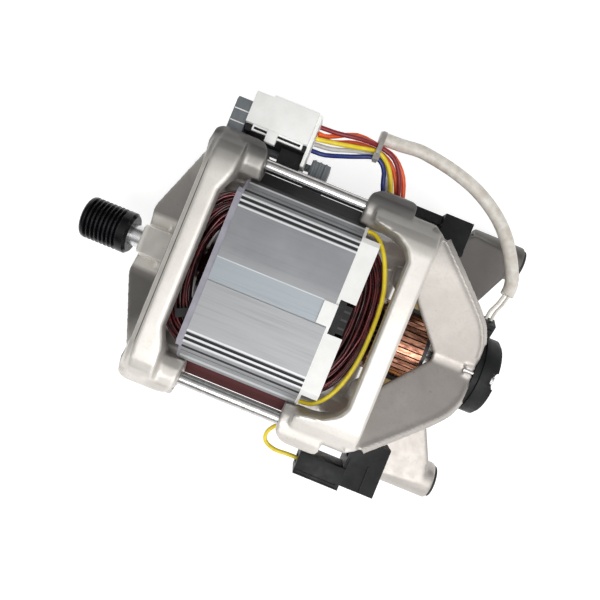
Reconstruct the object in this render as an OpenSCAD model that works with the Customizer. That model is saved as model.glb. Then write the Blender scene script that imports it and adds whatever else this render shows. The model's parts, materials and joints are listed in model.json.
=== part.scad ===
// Universal motor of a washing machine: two cast brackets joined by four long bolts round a laminated
// stator, with a ribbed belt pulley in front and a speed sensor behind.
// X runs along the shaft from the pulley to the sensor, Z is up when the motor lies on its lugs' side.
// The origin is on the shaft axis, in the middle of the pulley's belt grooves.

/* [Stator] */
// Length of the laminated stack
stack_len = 60; // [50:1:75]
// Height of the stack across its flats
stack_h = 90; // [84:1:96]
// Width of the stack across its sides
stack_w = 108; // [100:1:116]
// Diameter of the armature stack
armature_d = 54; // [46:1:56]
// Air gap between armature and poles
air_gap = 0.6; // [0.4:0.1:1.2]

/* [Brackets] */
// Height over the rim bars of both brackets
rim_h = 100; // [96:1:110]
// Width over the rim sides of both brackets
rim_w = 132; // [126:1:140]
// Space between the stack and the front rim bar
front_space = 10.5; // [9:0.5:16]
// Width of the front rim bar
front_bar = 9; // [7:0.5:14]
// Width of the step in front of the front rim bar
front_step = 3; // [2:0.5:5]
// Length of the front hub before the step
nose_len = 22.5; // [20:0.5:30]
// Space between the stack and the rear rim bar
rear_space = 23.4; // [23:0.1:30]
// Width of the rear rim bar
rear_bar = 10.6; // [8:0.2:14]
// Length of the rear hub behind the rear rim bar
rear_hub_len = 46.4; // [44:0.2:54]
// Height of the mounting lugs below the shaft axis
lug_drop = 28; // [24:1:34]
// Distance between the two rows of mounting lugs
lug_spacing = 137; // [132:1:144]

/* [Bolts] */
// Diameter of the through bolts
bolt_d = 6.5; // [5:0.5:7]
// Distance between the bolts across the motor
bolt_spacing_y = 112; // [110:1:114]
// Distance between the bolts over the height
bolt_spacing_z = 66; // [64:1:68]

/* [Pulley] */
// Outside diameter of the belt pulley
pulley_d = 23; // [21:0.5:26]
// Pitch of the belt grooves
groove_pitch = 2.34; // [2.2:0.01:2.5]
// Number of belt grooves
groove_n = 8; // [6:1:10]
// Gap between the pulley and the front hub
pulley_gap = 8.5; // [6:0.5:12]

/* [Commutator and brushes] */
// Diameter of the commutator
commutator_d = 36; // [32:1:40]
// Length of the commutator bars
commutator_len = 26; // [22:1:27]
// Number of commutator bars
bar_n = 36; // [24:2:44]
// Width of a carbon brush along the shaft
brush_w = 12; // [10:0.5:13]
// Thickness of a carbon brush round the commutator
brush_t = 6.3; // [5:0.1:8]
// Length of a carbon brush
brush_len = 30; // [24:1:32]
// Travel of a brush against its spring
brush_travel = 3; // [2:0.5:4]

/* [Speed sensor] */
// Diameter of the sensor cover
tacho_d = 42; // [38:1:44]
// Depth of the sensor cover
tacho_len = 12; // [10:0.5:16]

/* [Wiring] */
// Diameter of a supply wire
wire_d = 2.4; // [1.8:0.1:2.6]
// Diameter of the clear sleeve on the sensor leads
sleeve_d = 7; // [5:0.5:8]

/* [Hidden] */
$fn = 64;

// Stations along the shaft, measured from the middle of the stack
stack_end = stack_len / 2;
front_bar_in = -stack_end - front_space;
front_bar_out = front_bar_in - front_bar;
front_rim_out = front_bar_out - front_step;
nose_end = front_rim_out - nose_len;
pulley_end = nose_end - pulley_gap;
wide_flange = 5.2;
thin_flange = 2.6;
groove_band = groove_n * groove_pitch;
pulley_tip = pulley_end - wide_flange - groove_band - thin_flange;
belt_x = pulley_end - wide_flange - groove_band / 2;
rear_bar_in = stack_end + rear_space;
rear_bar_out = rear_bar_in + rear_bar;
rear_end = rear_bar_out + rear_hub_len;
boss_reach = 4;
boss_clear = 0.7;
rear_rim_inset = 6;
rear_corner_boss_end = rear_bar_in - 4.4;
front_boss_end = -stack_end + boss_reach;
rear_boss_end = stack_end - boss_reach;

// Places across the shaft
bolt_y = bolt_spacing_y / 2;
bolt_z = bolt_spacing_z / 2;
rim_y = rim_w / 2;
rim_z = rim_h / 2;
bar_t = 10;
lug_y = lug_spacing / 2;
lug_r = 10.5;
lug_bore_r = 7;
lug_sleeve_bore_r = 4.2;
bush_collar = 1.5;
front_lug_x = [front_rim_out - 13.5, front_bar_in + 4.5];
rear_lug_len = 31;
rear_lug_x = [rear_end - 17.4, rear_end - 17.4 + rear_lug_len];
flat_z = stack_h / 2;
side_y = stack_w / 2;

// Cast walls that run from the hubs out to the rim
wall_t = 3;
wall_rise = 0.497;
front_wall_y = 7.7;
front_wall_z = 19;
front_wall_fall = 25;
nose_top = 16;
rear_wall_y = 2;
rear_wall_z = 17.5;

// Bearings, by their bore, outside and width
front_brg_bore = 15;
front_brg_od = 35;
front_brg_w = 11;
rear_brg_bore = 10;
rear_brg_od = 30;
rear_brg_w = 9;
housing_wall = 3;
front_brg_x = front_bar_out + 1.5 - front_brg_w;
washer_t = 1.2;
rear_brg_x = rear_end - 7.4 - rear_brg_w;
ball_n = 8;

// Rotor
pulley_seat_d = 12;
core_shaft_d = 17;
commutator_r = commutator_d / 2;
commutator_x = [rear_end - 27.8 - commutator_len, rear_end - 27.8];
commutator_ring = 2.5;
bar_depth = 4;
bar_gap = 0.7;
slot_n = 12;
shaft_tail = tacho_len - 4;
magnet_len = 7;
tacho_screw_z = 17.3;
end_flange_r = 19;
connector_turn = 28.8;
tacho_seat = 8.7;

// Brush gear
brush_x = commutator_x[1] - 6.8;
brush_clear = 0.2;
box_wall = 1;
contact_clear = 0.15;
pad_y = rim_y - 16;
pad_t = 4;
pad_z = 11;
holder_out = rim_y + 15;
holder_x = [brush_x - 7.8, brush_x + 12.2];
upper_holder_out = rim_y + 6.5;
upper_holder_end = brush_x + 7.8;
upper_terminal_y = [rim_y + 0.6, rim_y + 5.6];
box_end = rim_y + 4;
flange_x = rear_bar_in + 4.6;
flange_t = 3;
terminal_x = [rear_bar_in - 9.4, holder_x[0]];
terminal_y = [rim_y + 5.5, holder_out + 2.5];
terminal_z = [-14, 5];
holder_screw_x = rear_bar_out + 3.5;
holder_screw_z = 7.6;
holder_screw_d = 3;
holder_screw_head_r = 2.9;
brush_box_y = commutator_r + 2.2;
brush_y = commutator_r + contact_clear;
spring_y = brush_y + brush_len;
spring_r = 2.6;
box_w = brush_w + 2 * brush_clear;
box_t = brush_t + 2 * brush_clear;

// Insulators and coils
rear_insulator_w = 9.2;
front_insulator_w = 3;
insulator_plate = 1.5;
insulator_wall = 2.6;
lead_guide_x = stack_end + 16.5;
lead_guide_y = side_y - 1;
pole_y = 25;
coil_half_w = 30;
coil_reach = 10;
coil_w = 12.6;
coil_bow = 0.35;
coil_z = 24.35;
coil_h = 9.85;
coil_top = coil_z + coil_h;

// Connector on the far side of the bolts
plug_x = [-44, -11.5];
plug_y = [rim_y + 6.5, rim_y + 23.5];
plug_z = [14, 33];
carrier_x = [plug_x[0] - 9, plug_x[1] + 14.5];
carrier_z = [4, 10];
carrier_t = 3;
end_stop = 8;
end_stop_top = 26;
foot_w = 10;
foot_top = 20;
rib = 1.6;

// Solids between two stations along the shaft, from a section given as width and height
module along_x(x1, x2) {
    translate([x1, 0, 0]) rotate([90, 0, 90]) linear_extrude(x2 - x1) children();
}

// A round bar or hole along the shaft direction
module rod_x(x1, x2, r, y = 0, z = 0) {
    translate([x1, y, z]) rotate([0, 90, 0]) cylinder(h = x2 - x1, r = r);
}

module ring_x(x1, x2, r_out, r_in, y = 0, z = 0) {
    difference() {
        rod_x(x1, x2, r_out, y, z);
        rod_x(x1 - 1, x2 + 1, r_in, y, z);
    }
}

module block(x, y, z) {
    translate([x[0], y[0], z[0]]) cube([x[1] - x[0], y[1] - y[0], z[1] - z[0]]);
}

// Puts a piece that is measured from the middle of the stack into the motor's own frame
module in_frame() {
    translate([-belt_x, 0, 0]) children();
}

module four_corners() {
    for (my = [0, 1], mz = [0, 1]) mirror([0, my, 0]) mirror([0, 0, mz]) children();
}

module both_sides() {
    for (m = [0, 1]) mirror([0, m, 0]) children();
}

// A flat section's points in all four quarters, its second direction being the height
module four_quarters() {
    for (my = [0, 1], mz = [0, 1]) mirror([my, 0]) mirror([0, mz]) children();
}

module mirrored_outline(points) {
    both_sides() linear_extrude(2 * rim_z, center = true) polygon(points);
}

// A closed outline from the points of its first quarter, listed from its width to its height
function full_outline(q) =
    let (n = len(q) - 1)
    concat(
        q,
        [for (i = [n:-1:0]) [-q[i][0], q[i][1]]],
        [for (i = [0:n]) [-q[i][0], -q[i][1]]],
        [for (i = [n:-1:0]) [q[i][0], -q[i][1]]]
    );

// Brackets

// Rounded corner of a quarter outline, from its width to its height
function corner_arc(y, z, r) = [for (a = [0:15:90]) [y - r + r * cos(a), z - r + r * sin(a)]];

module rim_outline(inset = 0) {
    polygon(full_outline(corner_arc(rim_y - inset, rim_z, 18)));
}

module rim_opening() {
    polygon(full_outline([
        [rim_y - 9, bolt_z - 13], [bolt_y - 10.5, bolt_z - 4], [bolt_y - 16, rim_z - bar_t]
    ]));
}

module rim(x1, x2, inset = 0) {
    along_x(x1, x2) difference() {
        rim_outline(inset);
        rim_opening();
    }
}

// Corner boss round one through bolt. Beside the stack it keeps clear of the stack's outline.
module corner_boss(x1, x2, beside_stack = false) {
    inner = beside_stack
        ? [
            [side_y - 7, flat_z - 14.5], [side_y - 3.5, flat_z - 17.6],
            [side_y + boss_clear, flat_z - 20.2], [side_y + boss_clear, bolt_z - 10]
        ]
        : [[bolt_y - 9, bolt_z - 6], [bolt_y - 5, bolt_z - 10]];
    outer = [
        [bolt_y + 5, bolt_z - 10], [rim_y, bolt_z - 5], [rim_y, bolt_z + 2.5],
        [rim_y - 1.5, bolt_z + 6.5], [bolt_y + 5, bolt_z + 9.4], [bolt_y, bolt_z + 10.8],
        [bolt_y - 5, bolt_z + 10], [bolt_y - 9, bolt_z + 6]
    ];
    four_corners() along_x(x1, x2) polygon(concat(inner, outer));
}

// The rim's section at its corners alone, for the webs between the bars and the bosses
module corner_web_section(inset = 0) {
    difference() {
        rim_outline(inset);
        rim_opening();
        square([2 * rim_w, 2 * (bolt_z - 10)], center = true);
    }
}

// Wall from the hub to the rim, in one quarter and mirrored to all, cut to an outline seen from above.
// It falls towards the pulley by an angle, from a station where it has its full height.
module cast_walls(y_in, z_in, outline, station = 0, fall = 0) {
    y_out = rim_y - 8;
    rise = (y_out - y_in) * wall_rise * cos(fall);
    intersection() {
        four_corners() translate([station, 0, z_in]) rotate([0, -fall, 0])
            along_x(nose_end - station - rim_z, rear_end - station) polygon([
                [-1, -wall_t], [-1, 0], [y_in, 0], [y_out, rise], [y_out, rise - wall_t], [y_in, -wall_t]
            ]);
        mirrored_outline(outline);
    }
}

// A lug, on a neck that starts inside the rim's side
module lug(x1, x2) {
    neck_start = rim_y - 6;
    neck_half = 0.55 * lug_r;
    both_sides() {
        rod_x(x1, x2, lug_r, lug_y, -lug_drop);
        block([x1, x2], [neck_start, lug_y], [-lug_drop - neck_half, -lug_drop + neck_half]);
    }
}

module bracket_holes(x1, x2, r) {
    four_corners() rod_x(x1, x2, r, bolt_y, bolt_z);
}

module front_bracket() {
    wall_outline = [
        [nose_end, -1], [nose_end, 17], [nose_end + 1.5, 20.5], [front_rim_out - 3, 50],
        [front_rim_out, rim_y - 10], [front_bar_out - 1.5, rim_y - 10], [front_bar_out - 1.5, -1]
    ];
    corner_web = [
        [front_bar_in - 2, 34], [front_bar_in, 34], [front_bar_in + 2, 39],
        [front_bar_in + 3.7, 44], [front_bar_in + 4, 50], [front_bar_in + 4, rim_y - 6],
        [front_bar_in - 2, rim_y - 6]
    ];
    // The bosses' corners are rounded as seen from above
    boss_outline = [
        [front_rim_out - 2, -1], [front_rim_out - 2, rim_y - 5], [front_rim_out - 1.2, rim_y - 3],
        [front_rim_out + 0.8, rim_y - 1], [front_rim_out + 4, rim_y + 1], [front_boss_end - 11, rim_y + 1],
        [front_boss_end - 4, rim_y - 1.6], [front_boss_end - 1, rim_y - 4.5], [front_boss_end, rim_y - 9],
        [front_boss_end + 1, -1]
    ];
    nose_side = [
        [nose_end, -nose_top], [nose_end, nose_top], [nose_end + 3, nose_top + 2],
        [front_rim_out - 2, front_wall_z + 5], [front_bar_out, front_wall_z + 5],
        [front_bar_out, -front_wall_z - 5], [front_rim_out - 2, -front_wall_z - 5],
        [nose_end + 3, -nose_top - 2]
    ];
    color("gainsboro") in_frame() difference() {
        union() {
            rim(front_bar_out, front_bar_in);
            // The step strip is a little lower than the bar
            along_x(front_rim_out, front_bar_out) difference() {
                polygon(full_outline(corner_arc(rim_y - 2, rim_z - 1.2, 17)));
                rim_opening();
            }
            intersection() {
                mirrored_outline(corner_web);
                along_x(front_bar_in - 2, front_bar_in + 4) corner_web_section();
            }
            intersection() {
                union() {
                    corner_boss(front_rim_out - 1.5, -stack_end - insulator_plate);
                    corner_boss(-stack_end - insulator_plate - 1, front_boss_end, true);
                }
                mirrored_outline(boss_outline);
            }
            cast_walls(front_wall_y, front_wall_z, wall_outline, front_rim_out, front_wall_fall);
            rod_x(nose_end, front_brg_x, 12.5);
            rod_x(front_brg_x - 3, front_bar_out + 2, front_brg_od / 2 + housing_wall);
            rotate([90, 0, 0]) linear_extrude(2 * front_wall_y, center = true) polygon(nose_side);
            lug(front_lug_x[0], front_lug_x[1]);
        }
        rod_x(front_brg_x, front_bar_in + 1, front_brg_od / 2);
        rod_x(nose_end - 1, front_brg_x + 1, front_brg_bore / 2 + 1);
        bracket_holes(front_rim_out - 4, front_boss_end + 1, bolt_d / 2 + 0.2);
        bracket_holes(front_rim_out - 4, front_rim_out + 3, 6.5);
        // The lug's hole goes on past the boss, so that a bolt can go through
        both_sides() rod_x(front_lug_x[0] - 1, front_boss_end + 1, lug_bore_r, lug_y, -lug_drop);
    }
}

module rear_bracket() {
    wall_outline = [
        [rear_bar_in + 6, -1], [rear_bar_in + 6, rim_y - 8], [rear_bar_out + 1, rim_y - 11],
        [rear_end - 11.6, 28.3], [rear_end - 5.5, 22], [rear_end - 1.2, 14], [rear_end, 8],
        [rear_end, -1]
    ];
    window = [
        [rear_bar_in - 1, -1], [rear_bar_in - 1, 41], [rear_bar_out + 4, 22.5],
        [rear_end - 22.7, 2], [rear_end - 22.7, -1]
    ];
    corner_web = [
        [rear_bar_in + 2, 36], [rear_bar_in, 37], [rear_bar_in - 3, 42], [rear_bar_in - 9, 46],
        [rear_bar_in - 19, 48], [rear_boss_end + 2, 50], [rear_boss_end + 2, rim_y - 6],
        [rear_bar_in + 2, rim_y - 6]
    ];
    rim_plan = [
        [rear_bar_in - 1, -1], [rear_bar_in - 1, rim_y], [rear_bar_out - 4.5, rim_y],
        [rear_bar_out - 2, rim_y - rear_rim_inset - 1], [rear_bar_out, rim_y - 12], [rear_bar_out, -1]
    ];
    boss_outline = [
        [rear_boss_end - 1, -1], [rear_boss_end - 1, rim_y - 8], [rear_boss_end + 1, rim_y - 4],
        [rear_boss_end + 4, rim_y - 1.6], [rear_boss_end + 9, rim_y + 1], [rear_corner_boss_end - 3.5, rim_y + 1],
        [rear_corner_boss_end - 1, rim_y - 1], [rear_corner_boss_end + 1, rim_y - 4], [rear_corner_boss_end + 1, -1]
    ];
    // The arm of a lug lies over its bore and runs from the rim's side, with a rib down its free edge
    lug_arm = [
        [rear_bar_out - 6, rim_y - 8.5], [rear_bar_out - 6, rim_y - 1], [rear_bar_out + 18, rim_y],
        [rear_lug_x[0], lug_y + 5], [rear_lug_x[1] - 6, lug_y + 2], [rear_lug_x[1] - 6, lug_y - 7],
        [rear_end - 2, 43], [rear_end - 9, 26], [rear_end - 15, 27], [rear_end - 24, 40]
    ];
    lug_rib = [
        [rear_end - 14.5, 25], [rear_end - 9.5, 23], [rear_lug_x[1] - 6, lug_y - 10],
        [rear_lug_x[1] - 12, lug_y - 8]
    ];
    color("gainsboro") in_frame() difference() {
        union() {
            intersection() {
                mirrored_outline(rim_plan);
                rim(rear_bar_in, rear_bar_out, rear_rim_inset);
            }
            intersection() {
                mirrored_outline(corner_web);
                along_x(stack_end + insulator_plate, rear_bar_in + 2) corner_web_section(rear_rim_inset);
            }
            intersection() {
                union() {
                    corner_boss(stack_end + insulator_plate, rear_corner_boss_end);
                    corner_boss(rear_boss_end, stack_end + insulator_plate + 1, true);
                }
                mirrored_outline(boss_outline);
            }
            difference() {
                cast_walls(rear_wall_y, rear_wall_z, wall_outline);
                mirrored_outline(window);
            }
            rod_x(rear_brg_x - 4, rear_end, rear_brg_od / 2 + 2.5);
            // Pads that carry the brush holders
            both_sides() block([rear_bar_in, upper_holder_end], [pad_y, pad_y + pad_t], [-pad_z, pad_z]);
            both_sides() block([rear_bar_in, flange_x - 0.3], [pad_y, rim_y - 8], [-pad_z, pad_z]);
            lug(rear_lug_x[0], rear_lug_x[1]);
            translate([0, 0, -lug_drop + lug_bore_r + 0.1]) both_sides()
                linear_extrude(lug_r - lug_bore_r - 0.1) polygon(lug_arm);
            translate([0, 0, -lug_drop - 2.5]) both_sides()
                linear_extrude(lug_r + 2.5) polygon(lug_rib);
            rod_x(rear_end - 5.2, rear_end, end_flange_r);
        }
        rod_x(rear_brg_x - 5, rear_brg_x + rear_brg_w + washer_t, rear_brg_od / 2);
        rod_x(rear_brg_x, rear_end + 1, rear_brg_bore / 2 + 2);
        bracket_holes(rear_boss_end - 1, rear_bar_in - 4, bolt_d / 2);
        both_sides() block([brush_x - box_w / 2 - box_wall - 0.3, brush_x + box_w / 2 + box_wall + 0.3],
            [pad_y - 1, pad_y + pad_t + 1],
            [-box_t / 2 - box_wall - 0.3, box_t / 2 + box_wall + 0.3]);
        both_sides() for (z = [-holder_screw_z, holder_screw_z]) translate([holder_screw_x, pad_y - 1, z])
            rotate([-90, 0, 0]) cylinder(h = 20, d = holder_screw_d);
        both_sides() rod_x(rear_lug_x[0] - 1, rear_lug_x[1] + 1, lug_bore_r, lug_y, -lug_drop);
        rod_x(rear_end - 5.5, rear_end + 1, 1.5, 0, tacho_screw_z);
    }
}

module through_bolts() {
    color("silver") in_frame() four_corners() {
        rod_x(front_rim_out + 1.5, rear_bar_in - 5, bolt_d / 2, bolt_y, bolt_z);
        translate([front_rim_out + 1.5, bolt_y, bolt_z]) rotate([0, -90, 0]) difference() {
            cylinder(h = 4.5, r = 5.5, $fn = 6);
            translate([0, 0, 2]) cylinder(h = 3, r = 2.9, $fn = 6);
        }
    }
}

module bolt_washers() {
    color("silver") in_frame() four_corners()
        ring_x(front_rim_out + 1.5, front_rim_out + 3, 6.3, bolt_d / 2 + 0.01, bolt_y, bolt_z);
}

// Both rubber bushes of one bracket, with a collar against one end of each lug
module lug_bush_pair(x1, x2, collar) {
    both_sides() difference() {
        union() {
            rod_x(min(x1, collar), max(x2, collar), lug_bore_r, lug_y, -lug_drop);
            rod_x(min(x2, collar), max(x1, collar), lug_r - 1.5, lug_y, -lug_drop);
        }
        rod_x(x1 - 3, x2 + 3, lug_sleeve_bore_r + 1.2, lug_y, -lug_drop);
    }
}

module lug_bushes() {
    color("dimgray") in_frame() {
        lug_bush_pair(front_lug_x[0], front_lug_x[1], front_lug_x[0] - bush_collar);
        lug_bush_pair(rear_lug_x[0], rear_lug_x[1], rear_lug_x[1] + bush_collar);
    }
}

module lug_sleeves() {
    past = bush_collar + 0.3;
    color("silver") in_frame() both_sides()
        for (x = [[front_lug_x[0] - past, front_lug_x[1]], [rear_lug_x[0], rear_lug_x[1] + past]])
            ring_x(x[0], x[1], lug_sleeve_bore_r + 1.2, lug_sleeve_bore_r, lug_y, -lug_drop);
}

// Stator

// Room for the coil sides between the poles and the sides of the stack
module coil_windows() {
    outer = coil_half_w + coil_w + 1.7;
    top = coil_top + 3.3;
    quarter = [
        [side_y - 6.5, 20], [outer, 25], [outer, top - 4.5], [outer - 4.5, top],
        [pole_y, top], [pole_y, 20], [pole_y - 1.5, 16]
    ];
    lower = [for (i = [len(quarter) - 1:-1:0]) [quarter[i][0], -quarter[i][1]]];
    for (m = [0, 1]) mirror([m, 0]) polygon(concat(quarter, lower));
}

// One quarter of the stack's outline, drawn in by an inset
function stack_quarter(inset) = [
    [side_y - inset, flat_z - 21 - inset], [side_y - 4 - inset, flat_z - 18.5 - inset],
    [side_y - 7.5 - inset, flat_z - 16 - inset], [side_y - 7.5 - inset, flat_z - 9.5 - inset / 2],
    [side_y - 17 - inset / 2, flat_z - inset]
];

module stack_section() {
    groove_at = [side_y - 21.5, side_y - 19];
    joint_at = -6.3;
    difference() {
        polygon(full_outline(stack_quarter(0)));
        four_quarters() for (y = groove_at) translate([y, flat_z - 0.9]) square([1.1, 1]);
        four_quarters() translate([side_y - 12.4, flat_z - 4.6]) rotate(45)
            square([0.8, 1.6], center = true);
        for (m = [0, 1]) mirror([0, m]) translate([joint_at, flat_z - 0.8]) square([0.6, 1]);
        circle(r = armature_d / 2 + air_gap);
        coil_windows();
    }
}

module stator_core() {
    color("darkgray") in_frame() along_x(-stack_end, stack_end) stack_section();
}

// Moulded end frame that keeps the coil off the stack, x1 on the stack and x2 at its free edge
module end_frame(x1, x2) {
    inner = x2 > x1 ? x1 + insulator_plate : x1 - insulator_plate;
    wall_z = flat_z - 0.5;
    along_x(min(x1, inner), max(x1, inner)) difference() {
        polygon(full_outline(stack_quarter(0.5)));
        coil_windows();
        circle(r = armature_d / 2 + air_gap + 0.4);
    }
    for (m = [0, 1]) mirror([0, 0, m]) along_x(min(x1, x2), max(x1, x2)) polygon([
        [-side_y + 14, wall_z - insulator_wall], [side_y - 14, wall_z - insulator_wall],
        [side_y - 14, wall_z - 1.8], [side_y - 16.5, wall_z], [-side_y + 16.5, wall_z],
        [-side_y + 14, wall_z - 1.8]
    ]);
}

module front_insulator() {
    color("lavender") in_frame() end_frame(-stack_end, -stack_end - front_insulator_w);
}

module rear_insulator() {
    color("white") in_frame() difference() {
        union() {
            end_frame(stack_end, stack_end + rear_insulator_w);
            block([stack_end - 5.5, stack_end + 1], [-5.6, 5.6], [flat_z, flat_z + 1.2]);
            block([stack_end, stack_end + 1.5], [-5.6, 5.6], [flat_z - 3, flat_z + 1.2]);
            // Guide on the side that holds the ends of the supply wires
            block([stack_end, lead_guide_x], [lead_guide_y - 4.5, lead_guide_y], [-2, 15]);
        }
        block([stack_end + insulator_plate, stack_end + rear_insulator_w + 1], [-8.6, 8.6],
            [flat_z - 6, flat_z + 2]);
    }
}

module thermal_protector() {
    color("#202020") in_frame() {
        block([stack_end + insulator_plate, stack_end + 5], [-8.3, 8.3], [flat_z - 4, flat_z - 0.5]);
        block([stack_end + 4, stack_end + 8.5], [-7, 7], [flat_z - 4, flat_z - 1.5]);
    }
}

module coil_tie() {
    length = front_space - 4.3;
    color("#202020") in_frame()
        translate([front_bar_in + 0.6 + length / 2, -coil_half_w + 4, coil_top + 1.75]) rotate([0, 0, 25])
        cube([length, 4.2, 3], center = true);
}

// Outline of a field coil, drawn out by a distance: long sides through the stack, bowed ends outside it
function coil_outline(out) = [
    for (angle = [0:7.5:352.5]) [
        (stack_end + coil_reach + out) * sign(cos(angle)) * pow(abs(cos(angle)), coil_bow),
        (coil_half_w + out) * sin(angle)
    ]
];

module field_coil() {
    translate([0, 0, coil_z]) linear_extrude(coil_h) difference() {
        polygon(coil_outline(coil_w));
        polygon(coil_outline(0));
    }
}

module field_coil_near() {
    color("maroon") in_frame() field_coil();
}

module field_coil_far() {
    color("maroon") in_frame() rotate([180, 0, 0]) field_coil();
}

// Rotor

module shaft() {
    color("silver") in_frame() {
        rod_x(pulley_tip + 1, nose_end + 2, pulley_seat_d / 2);
        rod_x(nose_end + 2, front_brg_x + front_brg_w, front_brg_bore / 2);
        rod_x(front_brg_x + front_brg_w, rear_brg_x - 2, core_shaft_d / 2);
        rod_x(rear_brg_x - 2, rear_end + 2, rear_brg_bore / 2);
        rod_x(rear_end + 2, rear_end + shaft_tail, 4);
    }
}

module pulley() {
    r = pulley_d / 2;
    depth = 2.1;
    crest = 0.45;
    round_r = 2;
    grooves_start = pulley_tip + thin_flange;
    profile = concat(
        [[0, 0], [r - round_r, 0]],
        [for (a = [-60, -30]) [r - round_r + round_r * cos(a), round_r + round_r * sin(a)]],
        [[r, round_r]],
        [for (g = [0:groove_n - 1]) each [
            [r, thin_flange + g * groove_pitch + crest / 2],
            [r - depth, thin_flange + (g + 0.5) * groove_pitch - 0.25],
            [r - depth, thin_flange + (g + 0.5) * groove_pitch + 0.25],
            [r, thin_flange + (g + 1) * groove_pitch - crest / 2]
        ]],
        [[r, pulley_end - pulley_tip - 1.5], [r - 1.5, pulley_end - pulley_tip], [0, pulley_end - pulley_tip]]
    );
    color("#222222") in_frame() difference() {
        translate([pulley_tip, 0, 0]) rotate([0, 90, 0]) rotate_extrude() polygon(profile);
        rod_x(pulley_tip - 1, pulley_end + 1, pulley_seat_d / 2);
    }
}

module armature_core() {
    r = armature_d / 2;
    slot_r = 4;
    slot_mouth = 2.4;
    color("darkgray") in_frame() along_x(-stack_end, stack_end) difference() {
        circle(r = r);
        circle(r = core_shaft_d / 2);
        for (i = [0:slot_n - 1]) rotate(360 * i / slot_n) {
            translate([r - slot_r - 3, 0]) circle(r = slot_r);
            translate([r - slot_r - 3, -slot_mouth / 2]) square([slot_r + 4, slot_mouth]);
        }
    }
}

// Wound end of the armature, a full rounded ring that tapers to the shaft
module winding_end(points) {
    rotate([0, 90, 0]) rotate_extrude() polygon(points);
}

module armature_winding_front() {
    r = armature_d / 2;
    color("maroon") in_frame() translate([-stack_end, 0, 0]) mirror([1, 0, 0]) winding_end([
        [core_shaft_d / 2, 0.1], [r - 4, 0.1], [r - 3.5, 4], [r - 4.5, 9], [r - 8, 13],
        [r - 13, 13.5], [core_shaft_d / 2, 13]
    ]);
}

module armature_winding_rear() {
    r = armature_d / 2;
    reach = commutator_x[0] - stack_end;
    color("maroon") in_frame() translate([stack_end, 0, 0]) winding_end([
        [core_shaft_d / 2, 0.1], [r - 4, 0.1], [r - 3.5, 4], [r - 4, 10], [r - 6.5, 17],
        [commutator_r, reach - 4], [commutator_r - 1, reach], [core_shaft_d / 2, reach]
    ]);
}

module bar_section(r) {
    difference() {
        circle(r = r);
        circle(r = commutator_r - bar_depth);
        for (i = [0:bar_n - 1]) rotate(360 * (i + 0.5) / bar_n) translate([0, -bar_gap / 2])
            square([r + 1, bar_gap]);
    }
}

module commutator_bars() {
    x1 = commutator_x[0];
    x2 = commutator_x[1];
    color("peru") in_frame() {
        along_x(x1, x2) bar_section(commutator_r);
        along_x(x1, x1 + 3) bar_section(commutator_r + 1.8);
    }
}

module commutator_hub() {
    x1 = commutator_x[0];
    x2 = commutator_x[1] + commutator_ring;
    color("#2a2420") in_frame() difference() {
        union() {
            rod_x(x1, x2, commutator_r - bar_depth);
            rod_x(commutator_x[1], x2, commutator_r - 2.5);
        }
        rod_x(x1 - 1, x2 + 1, core_shaft_d / 2);
    }
}

module tacho_magnet() {
    color("#3a3a3a") in_frame()
        ring_x(rear_end + 1, rear_end + 1 + magnet_len - 1, 8, 5);
}

// Bearings

module bearing_outer(x, od, bore, w) {
    pitch_r = (od + bore) / 4;
    ball_r = (od - bore) / 8 + 0.8;
    difference() {
        ring_x(x, x + w, od / 2, pitch_r + ball_r * 0.62);
        translate([x + w / 2, 0, 0]) rotate([0, 90, 0]) rotate_extrude() translate([pitch_r, 0])
            circle(r = ball_r + 0.05);
    }
}

module bearing_inner(x, od, bore, w) {
    pitch_r = (od + bore) / 4;
    ball_r = (od - bore) / 8 + 0.8;
    difference() {
        ring_x(x, x + w, pitch_r - ball_r * 0.62, bore / 2);
        translate([x + w / 2, 0, 0]) rotate([0, 90, 0]) rotate_extrude() translate([pitch_r, 0])
            circle(r = ball_r + 0.05);
    }
}

module bearing_balls(x, od, bore, w) {
    pitch_r = (od + bore) / 4;
    ball_r = (od - bore) / 8 + 0.8;
    for (i = [0:ball_n - 1]) rotate([360 * i / ball_n, 0, 0]) translate([x + w / 2, 0, pitch_r])
        sphere(r = ball_r);
}

module front_bearing_outer() {
    color("silver") in_frame() bearing_outer(front_brg_x, front_brg_od, front_brg_bore, front_brg_w);
}

module front_bearing_balls() {
    color("white") in_frame() bearing_balls(front_brg_x, front_brg_od, front_brg_bore, front_brg_w);
}

module front_bearing_inner() {
    color("silver") in_frame() bearing_inner(front_brg_x, front_brg_od, front_brg_bore, front_brg_w);
}

module rear_bearing_outer() {
    color("silver") in_frame() bearing_outer(rear_brg_x, rear_brg_od, rear_brg_bore, rear_brg_w);
}

module rear_bearing_balls() {
    color("white") in_frame() bearing_balls(rear_brg_x, rear_brg_od, rear_brg_bore, rear_brg_w);
}

module rear_bearing_inner() {
    color("silver") in_frame() bearing_inner(rear_brg_x, rear_brg_od, rear_brg_bore, rear_brg_w);
}

module wave_washer() {
    x = rear_brg_x + rear_brg_w;
    color("silver") in_frame() ring_x(x, x + washer_t, rear_brg_od / 2 - 0.2, rear_brg_od / 2 - 3.5);
}

// Speed sensor

module tacho_coil() {
    color("#303030") in_frame() ring_x(rear_end, rear_end + 7, 15.5, 9);
}

module tacho_cover() {
    r = tacho_d / 2;
    x2 = rear_end + tacho_len;
    color("#1c1c1c") in_frame() difference() {
        union() {
            rod_x(rear_end, x2 - 1.5, r - 1.5);
            rod_x(rear_end + 3, x2 - 1.5, r);
            rod_x(rear_end + 3, x2, r - 1.5);
        }
        rod_x(rear_end - 1, rear_end + 7.5, 15.6);
        rod_x(rear_end, x2 - 2.2, 9);
        rod_x(rear_end - 1, x2 + 1, 1.6, 0, tacho_screw_z);
        rod_x(rear_end + tacho_seat, x2 + 1, 4.4, 0, tacho_screw_z + 1);
    }
}

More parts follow.
